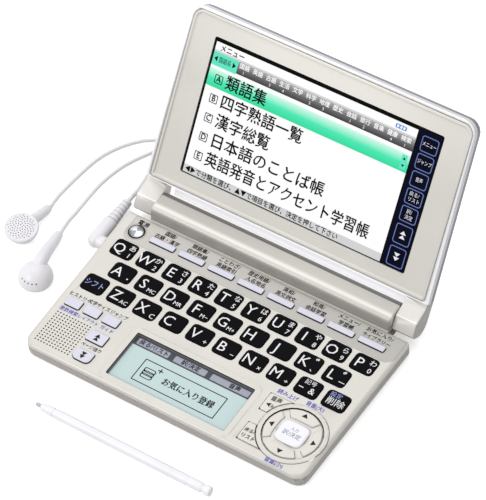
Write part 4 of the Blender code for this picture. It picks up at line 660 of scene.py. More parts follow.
PANEL_BOX = (-31.35, 30.75, 4.25, 30.15)
PANEL_FACE = 7.1
WALL_SHADE_PROFILE = ((0.02, 0.02), (0.55, 0.02), (0.45, 1.1), (0.02, 1.1), (0.02, 0.02))
panel_looks = [
    shown("panel_pale", (0.58, 0.71, 0.71), 0.2),
    shown("panel_strip", (0.085, 0.095, 0.11), 0.1),
    shown("panel_soft_key", (0.40, 0.41, 0.49), 0.1),
    shown("panel_ink", (0.008, 0.009, 0.012), 0.0),
]
PANEL_PALE, PANEL_STRIP, PANEL_KEY, PANEL_INK = range(4)
touch = merged("sub_display")
block(touch, on_base, PANEL_BOX, PANEL_FACE + 0.03, PANEL_PALE, 0.2)
block(touch, on_base, (*PANEL_BOX[:2], 24.9, PANEL_BOX[3]), PANEL_FACE + 0.06, PANEL_STRIP)
for x0, x1, x, text in (
    (-29.6, -13.0, -21.0, "戻る/リスト"), (-10.2, 6.6, -1.6, "訳/決定"), (9.2, 29.2, 21.5, "音声"),
):
    block(touch, on_base, (x0, x1, 25.7, 29.0), PANEL_FACE + 0.09, PANEL_KEY, 0.4, 2)
    lettering(touch, text, 2.9, spot(x, 27.3, PANEL_FACE + 0.12), 1.0, PANEL_INK, 0.15)
ink_z = PANEL_FACE + 0.06
box_line(touch, on_base, (-20.9, 22.2, 8.3, 21.0), (0.45, 0.45), (0.3, 0.2), ink_z, PANEL_INK)
lettering(touch, "お気に入り登録", 4.3, spot(5.4, 14.2, ink_z), 0.90, PANEL_INK, 0.2)
for rise in (12.4, 14.0, 15.6):
    box = (-18.6, -12.6, rise - 1.0, rise + 1.6)
    box_line(touch, on_base, box, (0.5, 0.4), (1.0, 0.7), ink_z, PANEL_INK, 3)
lettering(touch, "+", 5.2, spot(-11.4, 18.0, PANEL_FACE + 0.07), 1.0, PANEL_INK, 0.08)
make("touch_panel", touch, panel_looks, "base", ("sub_display",))

# A dark grey liner round the panel: painted shade on the window's inner walls.
gasket_grey = moulded("gasket_grey", (0.13, 0.13, 0.135), 0.6)
wall_shade_liner = bmesh.new()
x0, x1, y0, y1 = PANEL_BOX
loops = [
    on_base(rounded(x0 + inset, x1 - inset, y0 + inset, y1 - inset, 0.5), PANEL_FACE + rise)
    for inset, rise in WALL_SHADE_PROFILE
]
for outer, inner in zip(loops, loops[1:]):
    frame_line(wall_shade_liner, outer, inner)
bmesh.ops.remove_doubles(wall_shade_liner, verts=wall_shade_liner.verts[:], dist=0.001 * MM)
bmesh.ops.recalc_face_normals(wall_shade_liner, faces=wall_shade_liner.faces[:])
make("panel_gasket", wall_shade_liner, [gasket_grey], "base")


# Letter keys: 29 black moulded caps with soft edges, each on its own rubber spring. The letters are
# printed in white, with kana and figures or calculator marks beside them.
KEY_WIDTH = 11.3
KEY_DEPTH = 9.3
KEY_CORNER = 1.6
KEY_PITCH = 14.168
KEYS_MIDDLE_X = 0.32
KEY_ROWS_Y = (66.3, 54.6, 42.9)
KEY_TOP = 9.05
FLANGE_TOP = 7.1
FLANGE_BOTTOM = 6.3
KEY_FLANGE = 0.8
KEY_EDGE = 0.45
PRINT_LIFT = 0.015
KEY_INK = KEY_TOP + PRINT_LIFT
LEGENDS = (
    "Q:あ:1 W:か:2 E:さ:3 R:た:4 T:な:5 Y:は:6 U:ま:7 I:や:8 O:ら:9 P:わ:0",
    "A::・ S::MC D::MR F::M− G::M+ H:: J:: K:゛:、 L:゜:ー",
    "shift:: Z::AC X::C C:: V::+ B::− N::× M::÷ minus:: delete::",
)
WORDED_KEYS = {
    "shift": (("シフト", 4.0, 0.0, -0.3, 0.85, 2, 0.03),),
    "minus": (
        ("記号", 2.9, -0.2, 2.5, 1.0, 1, 0.0),
        ("−", 5.0, -3.1, -1.4, 1.0, 1, 0.05),
        ("&", 4.8, 2.4, -1.4, 1.0, 1, 0.03),
    ),
    "delete": (("設定", 2.9, -1.4, 2.5, 1.0, 2, 0.0), ("削除", 4.5, 0.2, -1.3, 1.0, 1, 0.03)),
}


def printed(name, colour):
    """Screen-printed ink, or a flat line of painted shade: nearly even, a little thin in places."""

    def wiring(draw):
        thin = draw.noise(0.5 * MM, 3.0).ramp(0.25, 0.6)
        return {"Base Color": thin.blend(toned(colour, 0.93), colour)}

    return finish(name, wiring, roughness=0.6, specular_ior_level=0.15)


ink_white = printed("ink_white", (0.88, 0.88, 0.90))
ink_black = printed("ink_black", (0.018, 0.017, 0.018))
ink_violet = printed("ink_violet", (0.16, 0.15, 0.50))
ink_pale_blue = printed("ink_pale_blue", (0.36, 0.42, 0.80))


def loft(shape, rings, look=0):
    """Adds a closed solid through rings of equally many points, capped at both ends."""
    loops = [[shape.verts.new(point) for point in ring] for ring in rings]
    made = [shape.faces.new(list(reversed(loops[0]))), shape.faces.new(loops[-1])]
    for face in made:
        face.material_index = look
    for low, high in zip(loops, loops[1:]):
        made += joined(shape, low, high, look)
    bmesh.ops.recalc_face_normals(shape, faces=made)


def key_outline(x, y, width, depth, corner, front=None):
    """A key's outline at any growth."""
    return lambda grow: rounded(
        x - width / 2 - grow, x + width / 2 + grow, y - depth / 2 - grow, y + depth / 2 + grow,
        corner + grow, front=None if front is None else front + grow,
    )


def soft_cap(shape, outline_at, top, edge, flange=True):
    """Adds a key cap over its flange: upright sides and a rounded upper edge."""
    rims = [(KEY_FLANGE, FLANGE_BOTTOM), (KEY_FLANGE, FLANGE_TOP)] if flange else []
    rims.append((0.0, FLANGE_TOP if flange else FLANGE_BOTTOM))
    for step in range(5):
        turn = math.radians(90 * step / 4)
        rims.append((-edge * (1 - math.cos(turn)), top - edge * (1 - math.sin(turn))))
    loft(shape, [on_base(outline_at(grow), z) for grow, z in rims])


key_black = moulded("key_black", (0.0026, 0.0025, 0.0034), 0.42, 0.22 * MM, 0.10, specular_ior_level=0.035)
for line, y in zip(LEGENDS, KEY_ROWS_Y):
    entries = [entry.split(":") for entry in line.split()]
    for column, (key, kana, mark) in enumerate(entries):
        x = KEYS_MIDDLE_X + (column - (len(entries) - 1) / 2) * KEY_PITCH
        cap = bmesh.new()
        soft_cap(cap, key_outline(x, y, KEY_WIDTH, KEY_DEPTH, KEY_CORNER), KEY_TOP, KEY_EDGE)
        voiced = kana in ("゛", "゜")
        for text, size, right, up, wide, look, heavy in (
            (key if len(key) == 1 else "", 7.6, -2.3, -0.5, 1.0, 1, 0.0),
            (kana, 5.5, 4.6, 0.9, 1.0, 1, 0.35) if voiced else (kana, 3.6, 3.6, 1.8, 1.0, 1, 0.05),
            (mark, 3.0, 2.9, -2.5, 1.0, 1, 0.03) if len(mark) > 1 else (mark, 3.7, 3.9, -2.5, 1.0, 1, 0.03),
            *WORDED_KEYS.get(key, ()),
        ):
            if text:
                lettering(cap, text, size, spot(x + right, y + up, KEY_INK), wide, look, heavy)
        node = "key_" + key.lower()
        key_looks = [key_black, ink_white, ink_pale_blue]
        make(node + "_cap", cap, key_looks, node + "_body", (node,))


# Function, menu and page keys: lavender moulded caps in three groups. Each group stands on one strip
# of rubber springs under the deck, so its caps move together.
key_lavender = moulded("key_lavender", (0.70, 0.69, 0.80), 0.34, 0.3 * MM, 0.05, specular_ior_level=0.3)
key_wall = moulded("key_wall", (0.035, 0.033, 0.04), 0.7, specular_ior_level=0.2)
SMALL_TOP = 9.45
FUNCTION_X = [-49.9 + 15.87 * index for index in range(8)]
FUNCTION_Y = 77.4
MENU_X = [-65.4 + 10.15 * index for index in range(3)]
MENU_Y = 29.2
PAGE_X = -45.1
PAGE_Y = (18.15, 6.8)


def arrow(x, foot, tip, half, rise):
    """A triangle that points up where tip is 1, and down where it is -1."""
    return [(x - half * tip, foot), (x + half * tip, foot), (x, foot + tip * rise)]


def key_group(name, node, places, width, depth, corner, front=None, marks=()):
    """Caps that share one strip, in one mesh. The last one's near corners take the radius front."""
    group = bmesh.new()
    xs, ys = zip(*places)
    across, along = width / 2 + KEY_FLANGE, depth / 2 + KEY_FLANGE
    strip = rounded(min(xs) - across, max(xs) + across, min(ys) - along, max(ys) + along, KEY_FLANGE)
    loft(group, [on_base(strip, z) for z in (FLANGE_BOTTOM, FLANGE_TOP)])
    for x, y in places:
        own = front if (x, y) == places[-1] else None
        soft_cap(group, key_outline(x, y, width, depth, corner, own), SMALL_TOP, 0.35, flange=False)
    # Upright sides take a dark painted shade, for the shadow in the gaps round the caps.
    for face in group.faces:
        if abs(face.normal.z) < 0.3:
            face.material_index = 2
    for outline in marks:
        patch(group, on_base(outline, SMALL_TOP + PRINT_LIFT), 1)
    make(name, group, [key_lavender, ink_black, key_wall], node + "_body", (node,))


key_group("function_caps", "function_keys", [(x, FUNCTION_Y) for x in FUNCTION_X], 13.2, 3.0, 0.55)
key_group("menu_caps", "menu_keys", [(x, MENU_Y) for x in MENU_X], 7.9, 5.0, 0.6)
page_marks = [
    arrow(PAGE_X, y + tip * rise, tip, 1.35, 2.1) for y, tip in zip(PAGE_Y, (1, -1)) for rise in (-0.1, -1.9)
]
key_group("page_caps", "page_keys", [(PAGE_X, y) for y in PAGE_Y], 9.2, 6.1, 0.6, 2.4, page_marks)


# Power button: a domed cap of bright metal, turned on a lathe, in a round seat in the deck whose dark ring is
# painted shadow. A flange under the deck keeps it in.
POWER_PLACE = (-64.5, 77.9)
POWER_RADIUS = 3.5
POWER_FLANGE = 4.3
POWER_EDGE = 8.8
POWER_DOME = 0.65


def spun_metal(draw):
    """Metal turned on a lathe: fine rings, and a painted reflection in its colour, bright in two crossed
    sweeps that meet at its middle.
    """
    x, y, _ = draw.here().split()
    x, y = x - spot(*POWER_PLACE).x, y - spot(*POWER_PLACE).y
    reach = draw.sum("SQRT", x * x + y * y)
    reflection_fans = draw.sum("COSINE", draw.sum("ARCTAN2", y, x) * 2.0 + 0.9).ramp(-0.7, 0.8)
    ring = draw.node("ShaderNodeTexNoise", {"W": reach * 9000.0, "Scale": 1.0}, noise_dimensions="1D")
    return {
        "Roughness": ring * 0.14 + 0.22,
        # Painted reflection: the colour is lighter in two crossed sweeps round the middle.
        "Base Color": reflection_fans.blend((0.20, 0.21, 0.23), (0.66, 0.67, 0.70)),
        "Normal": ring.bump(0.05, 0.02 * MM),
    }


def lathe(shape, start, along, profile, sides=32, look=0):
    """Adds a solid of revolution along an axis, from (distance, radius) points in millimetres."""
    axis = Vector(along)
    first = Vector((0.0, 0.0, 1.0) if axis.z == 0.0 else (1.0, 0.0, 0.0))
    second = axis.cross(first)
    rings = []
    for distance, radius in profile:
        middle = spot(*start) + axis * (distance * MM)
        turns = [math.tau * step / sides for step in range(sides)]
        rings.append(
            [middle + (first * math.cos(turn) + second * math.sin(turn)) * (radius * MM) for turn in turns]
        )
    loft(shape, rings, look)


def turned(shape, centre, profile, sides):
    """Adds a solid of revolution that stands upright, from (radius, height) points."""
    lathe(shape, centre, (0.0, 0.0, 1.0), [(height, radius) for radius, height in profile], sides)


dome = bmesh.new()
profile = [(POWER_FLANGE, FLANGE_BOTTOM), (POWER_FLANGE, FLANGE_TOP)]
profile += [(POWER_RADIUS, FLANGE_TOP), (POWER_RADIUS, POWER_EDGE)]
for step in range(1, 9):
    turn = math.radians(90 * step / 8)
    profile.append((max(POWER_RADIUS * math.cos(turn), 0.05), POWER_EDGE + POWER_DOME * math.sin(turn)))
turned(dome, POWER_PLACE, profile, 40)
power_metal = finish("spun_metal", spun_metal, metallic=1.0)
make("power_dome", dome, [power_metal], "power_button_body", ("power_button",))


# Cursor pad: a dished champagne disc with four raised crescents round the white enter key. All four
# arrows and the enter legend are printed; the two keys beside it follow its ring.
PAD_CENTRE = (57.0, 18.5)
PAD_DISH = 8.3
CRESCENT_SPREAD = math.radians(37)
CRESCENT_TOP = 9.1
CRESCENT_REACH = 13.0
CRESCENT_INNER = (8.3, 7.5)
GROOVE_WIDTH = 0.16
ARROW_TIP, ARROW_FOOT, ARROW_HALF = 11.95, 9.75, 1.5
ENTER_HALF = (6.3, 5.5)
ENTER_LIP = 0.45
ENTER_BULGE = 4.5
ENTER_EDGE = 8.8
ENTER_DOME = 0.65
ENTER_INK = ENTER_EDGE + ENTER_DOME + PRINT_LIFT
groove_shade = printed("groove_shade", (0.12, 0.11, 0.10))
pad_paint = pearl("pad_pearl", (0.72, 0.69, 0.64))
pad = merged("cursor_pad")


def crescent_outline(facing, grow):
    """A crescent's outline: an arc outside, and following the enter key's bulged sides inside."""
    outer, inner = CRESCENT_SPREAD + grow / CRESCENT_REACH, CRESCENT_SPREAD + grow / 7.0
    outline = []
    for step in range(-8, 9):
        outline.append(polar(PAD_CENTRE, CRESCENT_REACH + grow, facing + outer * step / 8))
    for step in range(-8, 9):
        angle = facing - inner * step / 8
        across = abs(math.cos(angle) / (CRESCENT_INNER[0] - grow))
        along = abs(math.sin(angle) / (CRESCENT_INNER[1] - grow))
        reach = (across**ENTER_BULGE + along**ENTER_BULGE) ** (-1 / ENTER_BULGE)
        outline.append(polar(PAD_CENTRE, reach, angle))
    return outline


for quarter in range(4):
    facing = math.radians(90 * quarter)
    tip, foot = [polar(PAD_CENTRE, reach, facing) for reach in (ARROW_TIP, ARROW_FOOT)]
    aside = polar((0.0, 0.0), ARROW_HALF, facing + math.pi / 2)
    mark = [tip, (foot[0] + aside[0], foot[1] + aside[1]), (foot[0] - aside[0], foot[1] - aside[1])]
    patch(pad, on_base(mark, CRESCENT_TOP + PRINT_LIFT), 1)
    # A painted shade line round each crescent's foot.
    edges = [on_base(crescent_outline(facing, grow), PAD_DISH + 0.03) for grow in (GROOVE_WIDTH, 0.0)]
    frame_line(pad, *edges, 2)
pad_looks = [pad_paint, ink_black, groove_shade]
make("cursor_disc", pad, pad_looks, "cursor_pad_body", ("cursor_pad",))

enter_white = moulded("enter_white", (0.86, 0.86, 0.91), 0.30)
ink_grey = printed("ink_grey", (0.20, 0.20, 0.26))
enter = bmesh.new()


def enter_outline(grow):
    points = []
    for index in range(48):
        angle = math.tau * index / 48
        across, along = abs(math.cos(angle)), abs(math.sin(angle))
        size = (across**ENTER_BULGE + along**ENTER_BULGE) ** (-1 / ENTER_BULGE)
        x = (ENTER_HALF[0] + grow) * size * math.cos(angle)
        y = (ENTER_HALF[1] + grow) * size * math.sin(angle)
        points.append((PAD_CENTRE[0] + x, PAD_CENTRE[1] + y))
    return points


rims = [(0.0, FLANGE_BOTTOM), (0.0, 8.45), (ENTER_LIP, 8.5), (ENTER_LIP, ENTER_EDGE)]
for step in range(1, 6):
    turn = math.radians(90 * step / 5)
    rims.append((ENTER_LIP - 1.2 * (1 - math.cos(turn)), ENTER_EDGE + ENTER_DOME * math.sin(turn)))
loft(enter, [on_base(enter_outline(grow), z) for grow, z in rims])
lettering(enter, "入力", 2.0, spot(57.2, 20.3, ENTER_INK), 1.0, 1)
lettering(enter, "訳/決定", 2.9, spot(57.2, 17.4, ENTER_INK), 0.95, 1, 0.01)
make("enter_cap", enter, [enter_white, ink_grey], "enter_key_body", ("enter_key",))

SIDE_KEY_X = 37.3
SIDE_KEY_NEAR = 4.1
SIDE_KEY_FAR = 13.9
SIDE_KEY_REACH = 16.35
SIDE_KEY_CORNER = 0.9


def side_outline(upward):
    """A key beside the pad: rounded outside, and following the pad's ring inside."""

    def outline(grow):
        left = SIDE_KEY_X - grow
        near, far = SIDE_KEY_NEAR - grow, SIDE_KEY_FAR + grow
        reach = SIDE_KEY_REACH - grow
        corner = SIDE_KEY_CORNER + grow
        points = []
        for v, start in ((far - corner, 90), (near + corner, 180)):
            for step in range(4):
                points.append(polar((left + corner, v), corner, math.radians(start + 30 * step)))
        first, last = math.asin(near / reach), math.asin(far / reach)
        for step in range(9):
            turn = first + (last - first) * step / 8
            points.append((PAD_CENTRE[0] - reach * math.cos(turn), reach * math.sin(turn)))
        return [(x, PAD_CENTRE[1] + upward * v) for x, v in points]

    return outline


HORN = ((-1.3, -0.5), (-0.6, -0.5), (0.4, -1.3), (0.4, 1.3), (-0.6, 0.5), (-1.3, 0.5))
for name, upward, words in (
    ("voice", 1, (("音声", 2.9, 41.6, 30.0), ("))", 2.2, 41.7, 26.4))),
    ("back", -1, (("戻る/", 2.3, 40.4, 10.2), ("リスト", 2.6, 41.5, 6.9))),
):
    cap = bmesh.new()
    soft_cap(cap, side_outline(upward), KEY_TOP, 0.25)
    for text, size, x, y in words:
        lettering(cap, text, size, spot(x, y, KEY_INK), 0.92, 1, 0.3)
    if name == "voice":
        patch(cap, on_base([(40.2 + x, 26.4 + y) for x, y in HORN], KEY_INK), 1)
    node = name + "_key"
    make(name + "_cap", cap, [pad_paint, ink_black], node + "_body", (node,))


# Lid bumper: a small soft pad near the deck's front right corner, on which the closed lid rests.
# It is moulded in the deck's colour and pressed into a shallow seat.
bumper = bmesh.new()
loft(
    bumper,
    [
        on_base(rounded(70.2 + draw, 72.2 - draw, 9.8 + draw, 13.2 - draw, 0.9 - draw), z)
        for draw, z in ((0.0, 8.4), (0.0, 8.75), (0.08, 8.86), (0.25, 8.9))
    ],
)
make("lid_bumper", bumper, [pad_paint], "base")


# Words printed on the deck beside its keys, in black ink, and in violet for the shifted meanings. Dark rings
# in the same black are painted shadow in the gaps round the power button and the pad, beside a painted groove
# shade.
DECK_INK = DECK_TOP / MM + PRINT_LIFT
deck_words = bmesh.new()
for text, size, x, y, look in (
    ("電源", 2.9, -64.2, 83.3, 0),
    ("国語/", 2.6, -49.6, 83.9, 0),
    ("古語・漢字", 2.6, -49.7, 80.7, 0),
    ("類語集/", 2.6, -33.6, 83.9, 0),
    ("四字熟語", 2.6, -33.4, 80.7, 0),
    ("ことわざ/", 2.6, -17.8, 83.9, 0),
    ("英語索引", 2.6, -17.6, 80.7, 0),
    ("歴史用語/", 2.6, -2.0, 83.9, 0),
    ("人名地名", 2.6, -1.8, 80.7, 0),
    ("英和/", 2.6, 13.9, 83.9, 0),
    ("英文例文", 2.6, 14.1, 80.7, 0),
    ("和英/", 2.6, 29.7, 83.9, 0),
    ("会話学習", 2.6, 29.9, 80.7, 0),
    ("メニュー/", 2.6, 45.5, 83.9, 0),
    ("学習帳", 2.6, 45.7, 80.7, 0),
    ("お気に入り/", 2.6, 61.4, 83.9, 0),
    ("ライブラリー", 2.4, 61.4, 80.7, 0),
    ("ヒストリー", 2.3, -65.0, 33.6, 0),
    ("文字サイズ", 2.3, -54.9, 33.8, 0),
    ("ジャンプ", 2.3, -44.2, 33.8, 0),
    ("複数検索", 2.4, -65.0, 24.3, 1),
    ("レイアウト", 2.2, -54.6, 24.3, 1),
    ("ガイド", 2.4, -44.4, 24.3, 1),
    ("ページ送り", 2.2, -44.6, 12.5, 0),
    ("読み上げ", 2.6, 44.3, 35.0, 1),
    ("音量(大)", 2.5, 57.8, 35.8, 1),
    ("音量(小)", 2.5, 58.1, 1.6, 1),
):
    lettering(deck_words, text, size * 1.06, spot(x, y, DECK_INK), 0.95, look, 0.18)


def circle(centre, radius, z):
    return on_base([polar(centre, radius, math.tau * step / 64) for step in range(64)], z)


# Dark rings of painted shadow in the gaps round the power button and the pad, and a painted groove shade for
# the thin ring engraved round the power button.
for centre, outer, inner, z, look in (
    (POWER_PLACE, 4.15, 3.55, DECK_INK, 0),
    (POWER_PLACE, 4.75, 4.62, DECK_INK, 2),
    (PAD_CENTRE, 13.78, 13.52, 8.0, 0),
    (PAD_CENTRE, 16.04, 15.82, DECK_INK, 0),
):
    frame_line(deck_words, circle(centre, outer, z), circle(centre, inner, z), look)
make("deck_lettering", deck_words, [ink_black, ink_violet, groove_shade], "base")


# Lid: a lavender moulded cover that turns on two steel pins in its knuckles, with a white foot behind
# the barrel. A champagne bezel is snapped into it round the display.
HINGE_PLACE = (0.0, 31.7863 * MM, 9.8 * MM)
LID_ANGLE = math.radians(57.5)
steel = moulded("hinge_steel", (0.55, 0.55, 0.56), 0.3, metallic=1.0)
for side in ("left", "right"):
    refinished("hinge_pin_" + side, "steel_pin_" + side, [steel])


def lid_place(draw):
    """Coordinates on the lid: across it, up from the hinge axis, and out of its display side."""
    flat = draw.node(
        "ShaderNodeMapping", {"Vector": draw.here(), "Location": [-part for part in HINGE_PLACE]}
    )
    settings = {"Vector": flat, "Axis": (1.0, 0.0, 0.0), "Angle": -LID_ANGLE}
    return draw.node("ShaderNodeVectorRotate", settings).split()


def cover_paint(draw):
    """Lavender with a white rim between fine parting lines, champagne hinge knuckles, and painted light and
    shade.
    """
    across, up, out = lid_place(draw)
    base = draw.noise(28 * MM).ramp(0.3, 0.7).blend((0.62, 0.61, 0.67), (0.68, 0.67, 0.73))
    # The side wall is painted in darker bands than the back: painted shade where the rounded side turns away
    # from the light.
    base = out.ramp(-6.4 * MM, -6.0 * MM).blend(base, (0.22, 0.21, 0.25))
    base = out.ramp(-3.4 * MM, -2.9 * MM).blend(base, (0.52, 0.51, 0.58))
    base = out.ramp(-2.2 * MM, -2.0 * MM).blend(base, (0.93, 0.93, 0.95))
    for line, half, tone in ((-0.7, 0.20, 0.16), (-1.5, 0.16, 0.34), (-3.1, 0.20, 0.12)):
        groove = abs(out - line * MM).ramp(half * 0.5 * MM, half * MM, 1.0, 0.0)
        base = groove.blend(base, (tone, tone, tone * 1.06))
    foot = up.ramp(9.9 * MM, 10.2 * MM, 1.0, 0.0)
    knuckle = foot * abs(across).ramp(62.6 * MM, 62.9 * MM)
    base = foot.blend(base, (0.96, 0.96, 0.98))
    for line in (5.9, 6.7):
        groove = foot * abs(up - line * MM).ramp(0.10 * MM, 0.22 * MM, 1.0, 0.0)
        base = groove.blend(base, (0.45, 0.45, 0.49))
    # Painted light: the white foot between the knuckles glows, so it reads bright in the shade under the
    # bezel.
    glow = foot * (1.0 - knuckle) * out.ramp(-7.0 * MM, -6.8 * MM)
    base = knuckle.blend(base, (0.80, 0.77, 0.73))
    # Painted shade on the knuckles' lower, front-facing facets.
    low = knuckle * up.ramp(1.3 * MM, 1.6 * MM, 1.0, 0.0)
    base = low.blend(base, (0.60, 0.575, 0.545))
    # A painted highlight along the fold between the knuckles' facets.
    crease_highlight = knuckle * abs(up - 1.75 * MM).ramp(0.15 * MM, 0.4 * MM, 1.0, 0.0)
    base = crease_highlight.blend(base, (0.95, 0.93, 0.90))
    # Painted shade on the knuckles' end faces.
    end = knuckle * abs(across).ramp(74.3 * MM, 74.9 * MM)
    base = end.blend(base, (0.38, 0.365, 0.35))
    return {
        "Base Color": base,
        "Emission Color": glow.blend((0.0, 0.0, 0.0), (0.34, 0.34, 0.35)),
        "Roughness": draw.noise(9 * MM, 4.0) * 0.05 + 0.26,
        "Normal": draw.noise(0.35 * MM, 3.0).bump(0.06, 0.04 * MM),
    }


cover_lavender = finish("cover_lavender", cover_paint, emission_strength=1.0)
refinished("lid_cover", "cover_shell", [cover_lavender])


def bezel_sheen(draw):
    """A painted sheen: the bezel's pearl is painted paler toward the middle of its upper border."""
    across, up, _ = lid_place(draw)
    return ((up.ramp(60 * MM, 92 * MM) * abs(across).ramp(20 * MM, 70 * MM, 1.0, 0.35), 1.22),)


bezel_paint = pearl("bezel_pearl", (0.66, 0.64, 0.595), bezel_sheen, metallic=0.1)
refinished("lid_bezel", "bezel_moulding", [bezel_paint], 12.0)


# Display: a black-edged window with a lit colour panel behind it. It shows a menu with a row of tabs,
# five lettered entries and a line of help, and a dark touch strip with seven soft keys on the right.
LID_TURN = Matrix.Translation(HINGE_PLACE) @ Matrix.Rotation(LID_ANGLE, 4, "X")
DISPLAY_FACE = -0.9


def on_lid(outline, lift):
    """Outline points (across, up the lid) in millimetres, lifted that much off the display's face."""
    return [LID_TURN @ Vector((x * MM, v * MM, (DISPLAY_FACE + lift) * MM)) for x, v in outline]


def lid_words(shape, text, size, x, v, lift, wide, look, heavy=0.0, align="CENTER"):
    place = Matrix.Translation((x * MM, v * MM, (DISPLAY_FACE + lift) * MM))
    lettering(shape, text, size, LID_TURN @ place, wide, look, heavy, align)


def faded(name, low, middle, high, start, end):
    """A lit colour that changes up the lid from low to high."""

    def wiring(draw):
        _, v, _ = lid_place(draw)
        share = v.node("ShaderNodeMapRange", {"Value": v, "From Min": start * MM, "From Max": end * MM})
        stops = ((0.0, low), (0.45, middle), (1.0, high))
        return {"Emission Color": draw.node("ShaderNodeValToRGB", {0: share}, stops=stops)}

    return finish(
        name, wiring, base_color=(0.01, 0.01, 0.01, 1.0), roughness=0.4, specular_ior_level=0.06,
        emission_strength=0.95,
    )


lcd = merged("main_display")
looks = [
    moulded("display_black", (0.0015, 0.0015, 0.002), 0.30, specular_ior_level=0.04),
    shown("lcd_white", (1.0, 1.0, 1.0), 0.98),
    shown("lcd_pale_grey", (0.66, 0.67, 0.67), 0.9),
    shown("lcd_black", (0.004, 0.004, 0.005), 0.0),
    shown("lcd_mint", (0.13, 0.80, 0.55), 0.95),
    shown("lcd_blue", (0.10, 0.28, 0.72), 0.9),
    faded("lcd_highlight", (0.03, 0.74, 0.34), (0.07, 0.84, 0.48), (0.66, 1.0, 0.86), 62.4, 70.9),
    faded("lcd_tabs", (0.035, 0.035, 0.037), (0.14, 0.14, 0.15), (0.42, 0.42, 0.42), 72.8, 78.6),
]
WHITE, PALE, BLACK, MINT, BLUE, HIGHLIGHT, TABS = range(1, 8)
LEFT, RIGHT, FOOT, TOP = -57.9, 46.9, 19.1, 83.4
FIRST_TAB_X, TAB_PITCH = -41.3, 7.0
FIRST_ENTRY_V, ENTRY_PITCH = 66.7, 9.45
for box, lift, look, radius in (
    ((LEFT, RIGHT, FOOT, TOP), 0.03, WHITE, 0.1),
    ((LEFT, RIGHT, 78.7, TOP), 0.05, PALE, 0.1),
    ((LEFT, RIGHT, 79.6, TOP), 0.07, WHITE, 0.1),
    ((-44.8, RIGHT, 72.8, 78.7), 0.07, TABS, 0.1),
    ((LEFT, -44.8, 72.3, 78.7), 0.07, MINT, 0.3),
    ((LEFT, RIGHT, 62.4, 70.9), 0.05, HIGHLIGHT, 0.1),
    ((LEFT, RIGHT, FOOT, 22.9), 0.05, PALE, 0.1),
    ((43.0, 45.8, 63.3, 70.2), 0.07, MINT, 0.3),
    *[((x - 0.5, x + 0.5, 80.7, 81.9), 0.11, WHITE, 0.1) for x in (37.2, 38.9, 40.4)],
):
    block(lcd, on_lid, box, lift, look, radius)
block(lcd, on_lid, (36.0, 41.6, 80.3, 82.3), 0.09, BLUE, 0.5, 2)
for foot, tip in ((67.9, 1), (65.6, -1)):
    patch(lcd, on_lid(arrow(44.4, foot, tip, 0.8, 1.2), 0.09), BLACK)
lid_words(lcd, "メニュー", 3.6, -49.0, 81.0, 0.09, 0.9, BLACK, 0.2)
lid_words(lcd, "◀ 国語系 ▶", 3.0, -51.4, 75.5, 0.09, 0.72, BLACK, 0.05)
help_line = "◀▶で分類を選び、▲▼で項目を選び、決定を押して下さい"
lid_words(lcd, help_line, 3.3, -57.0, 21.0, 0.07, 0.92, BLACK, 0.14, "LEFT")
tab_names = "国語 英語 古語 生活 文学 科学 地理 歴史 会話 旅行 音楽 健康 検索"
for index, text in enumerate(tab_names.split()):
    x = FIRST_TAB_X + TAB_PITCH * index
    lid_words(lcd, text, 2.8, x, 76.9, 0.09, 0.95, WHITE, 0.1)
    if index % 3 != 1:
        lid_words(lcd, str(index % 4 + 1), 2.0, x, 74.2, 0.09, 1.0, WHITE)
for index, (letter, text, wide) in enumerate(
    (
        ("A", "類語集", 0.96),
        ("B", "四字熟語一覧", 0.96),
        ("C", "漢字総覧", 0.96),
        ("D", "日本語のことば帳", 1.0),
        ("E", "英語発音とアクセント学習帳", 0.88),
    )
):
    v = FIRST_ENTRY_V - ENTRY_PITCH * index
    box_line(lcd, on_lid, (-54.3, -50.1, v - 2.1, v + 2.1), (0.4, 0.4), (0.3, 0.2), 0.08, BLACK, 1)
    lid_words(lcd, letter, 4.0, -52.2, v, 0.09, 0.9, BLACK, 0.22)
    lid_words(lcd, text, 7.6, -48.6, v, 0.09, wide, BLACK, 0.26, "LEFT")
make("display_window", lcd, looks, "lid", ("main_display",))

strip_looks = [
    shown("strip_navy", (0.0022, 0.0030, 0.0130), 0.5),
    shown("strip_line", (0.16, 0.22, 0.50), 0.6),
    shown("strip_white", (0.85, 0.86, 0.92), 0.6),
]
strip = bmesh.new()
block(strip, on_lid, (47.6, 59.0, 19.0, 84.6), 0.03, 0, 0.2)
for v, half, text in (
    (78.6, 3.7, "メニュー"),
    (70.2, 3.7, "ジャンプ"),
    (61.8, 3.7, "音声"),
    (53.4, 3.7, "戻る/リスト"),
    (45.0, 3.7, "訳/決定"),
    (35.2, 4.7, "up"),
    (24.4, 4.7, "down"),
):
    box_line(strip, on_lid, (49.7, 58.1, v - half, v + half), (0.4, 0.4), (1.2, 0.9), 0.05, 1, 4)
    if text in ("up", "down"):
        tip = 1 if text == "up" else -1
        for rise in (0.1, -1.9):
            patch(strip, on_lid(arrow(53.9, v + tip * rise, tip, 1.5, 1.8), 0.06), 2)
    elif "/" in text:
        first, second = text.split("/")
        lid_words(strip, first + "/", 2.4, 53.7, v + 1.35, 0.06, 0.9, 2)
        lid_words(strip, second, 2.4, 54.1, v - 1.35, 0.06, 0.85, 2)
    else:
        lid_words(strip, text, 2.4, 53.9, v, 0.06, 0.75, 2)
make("touch_strip", strip, strip_looks, "lid")


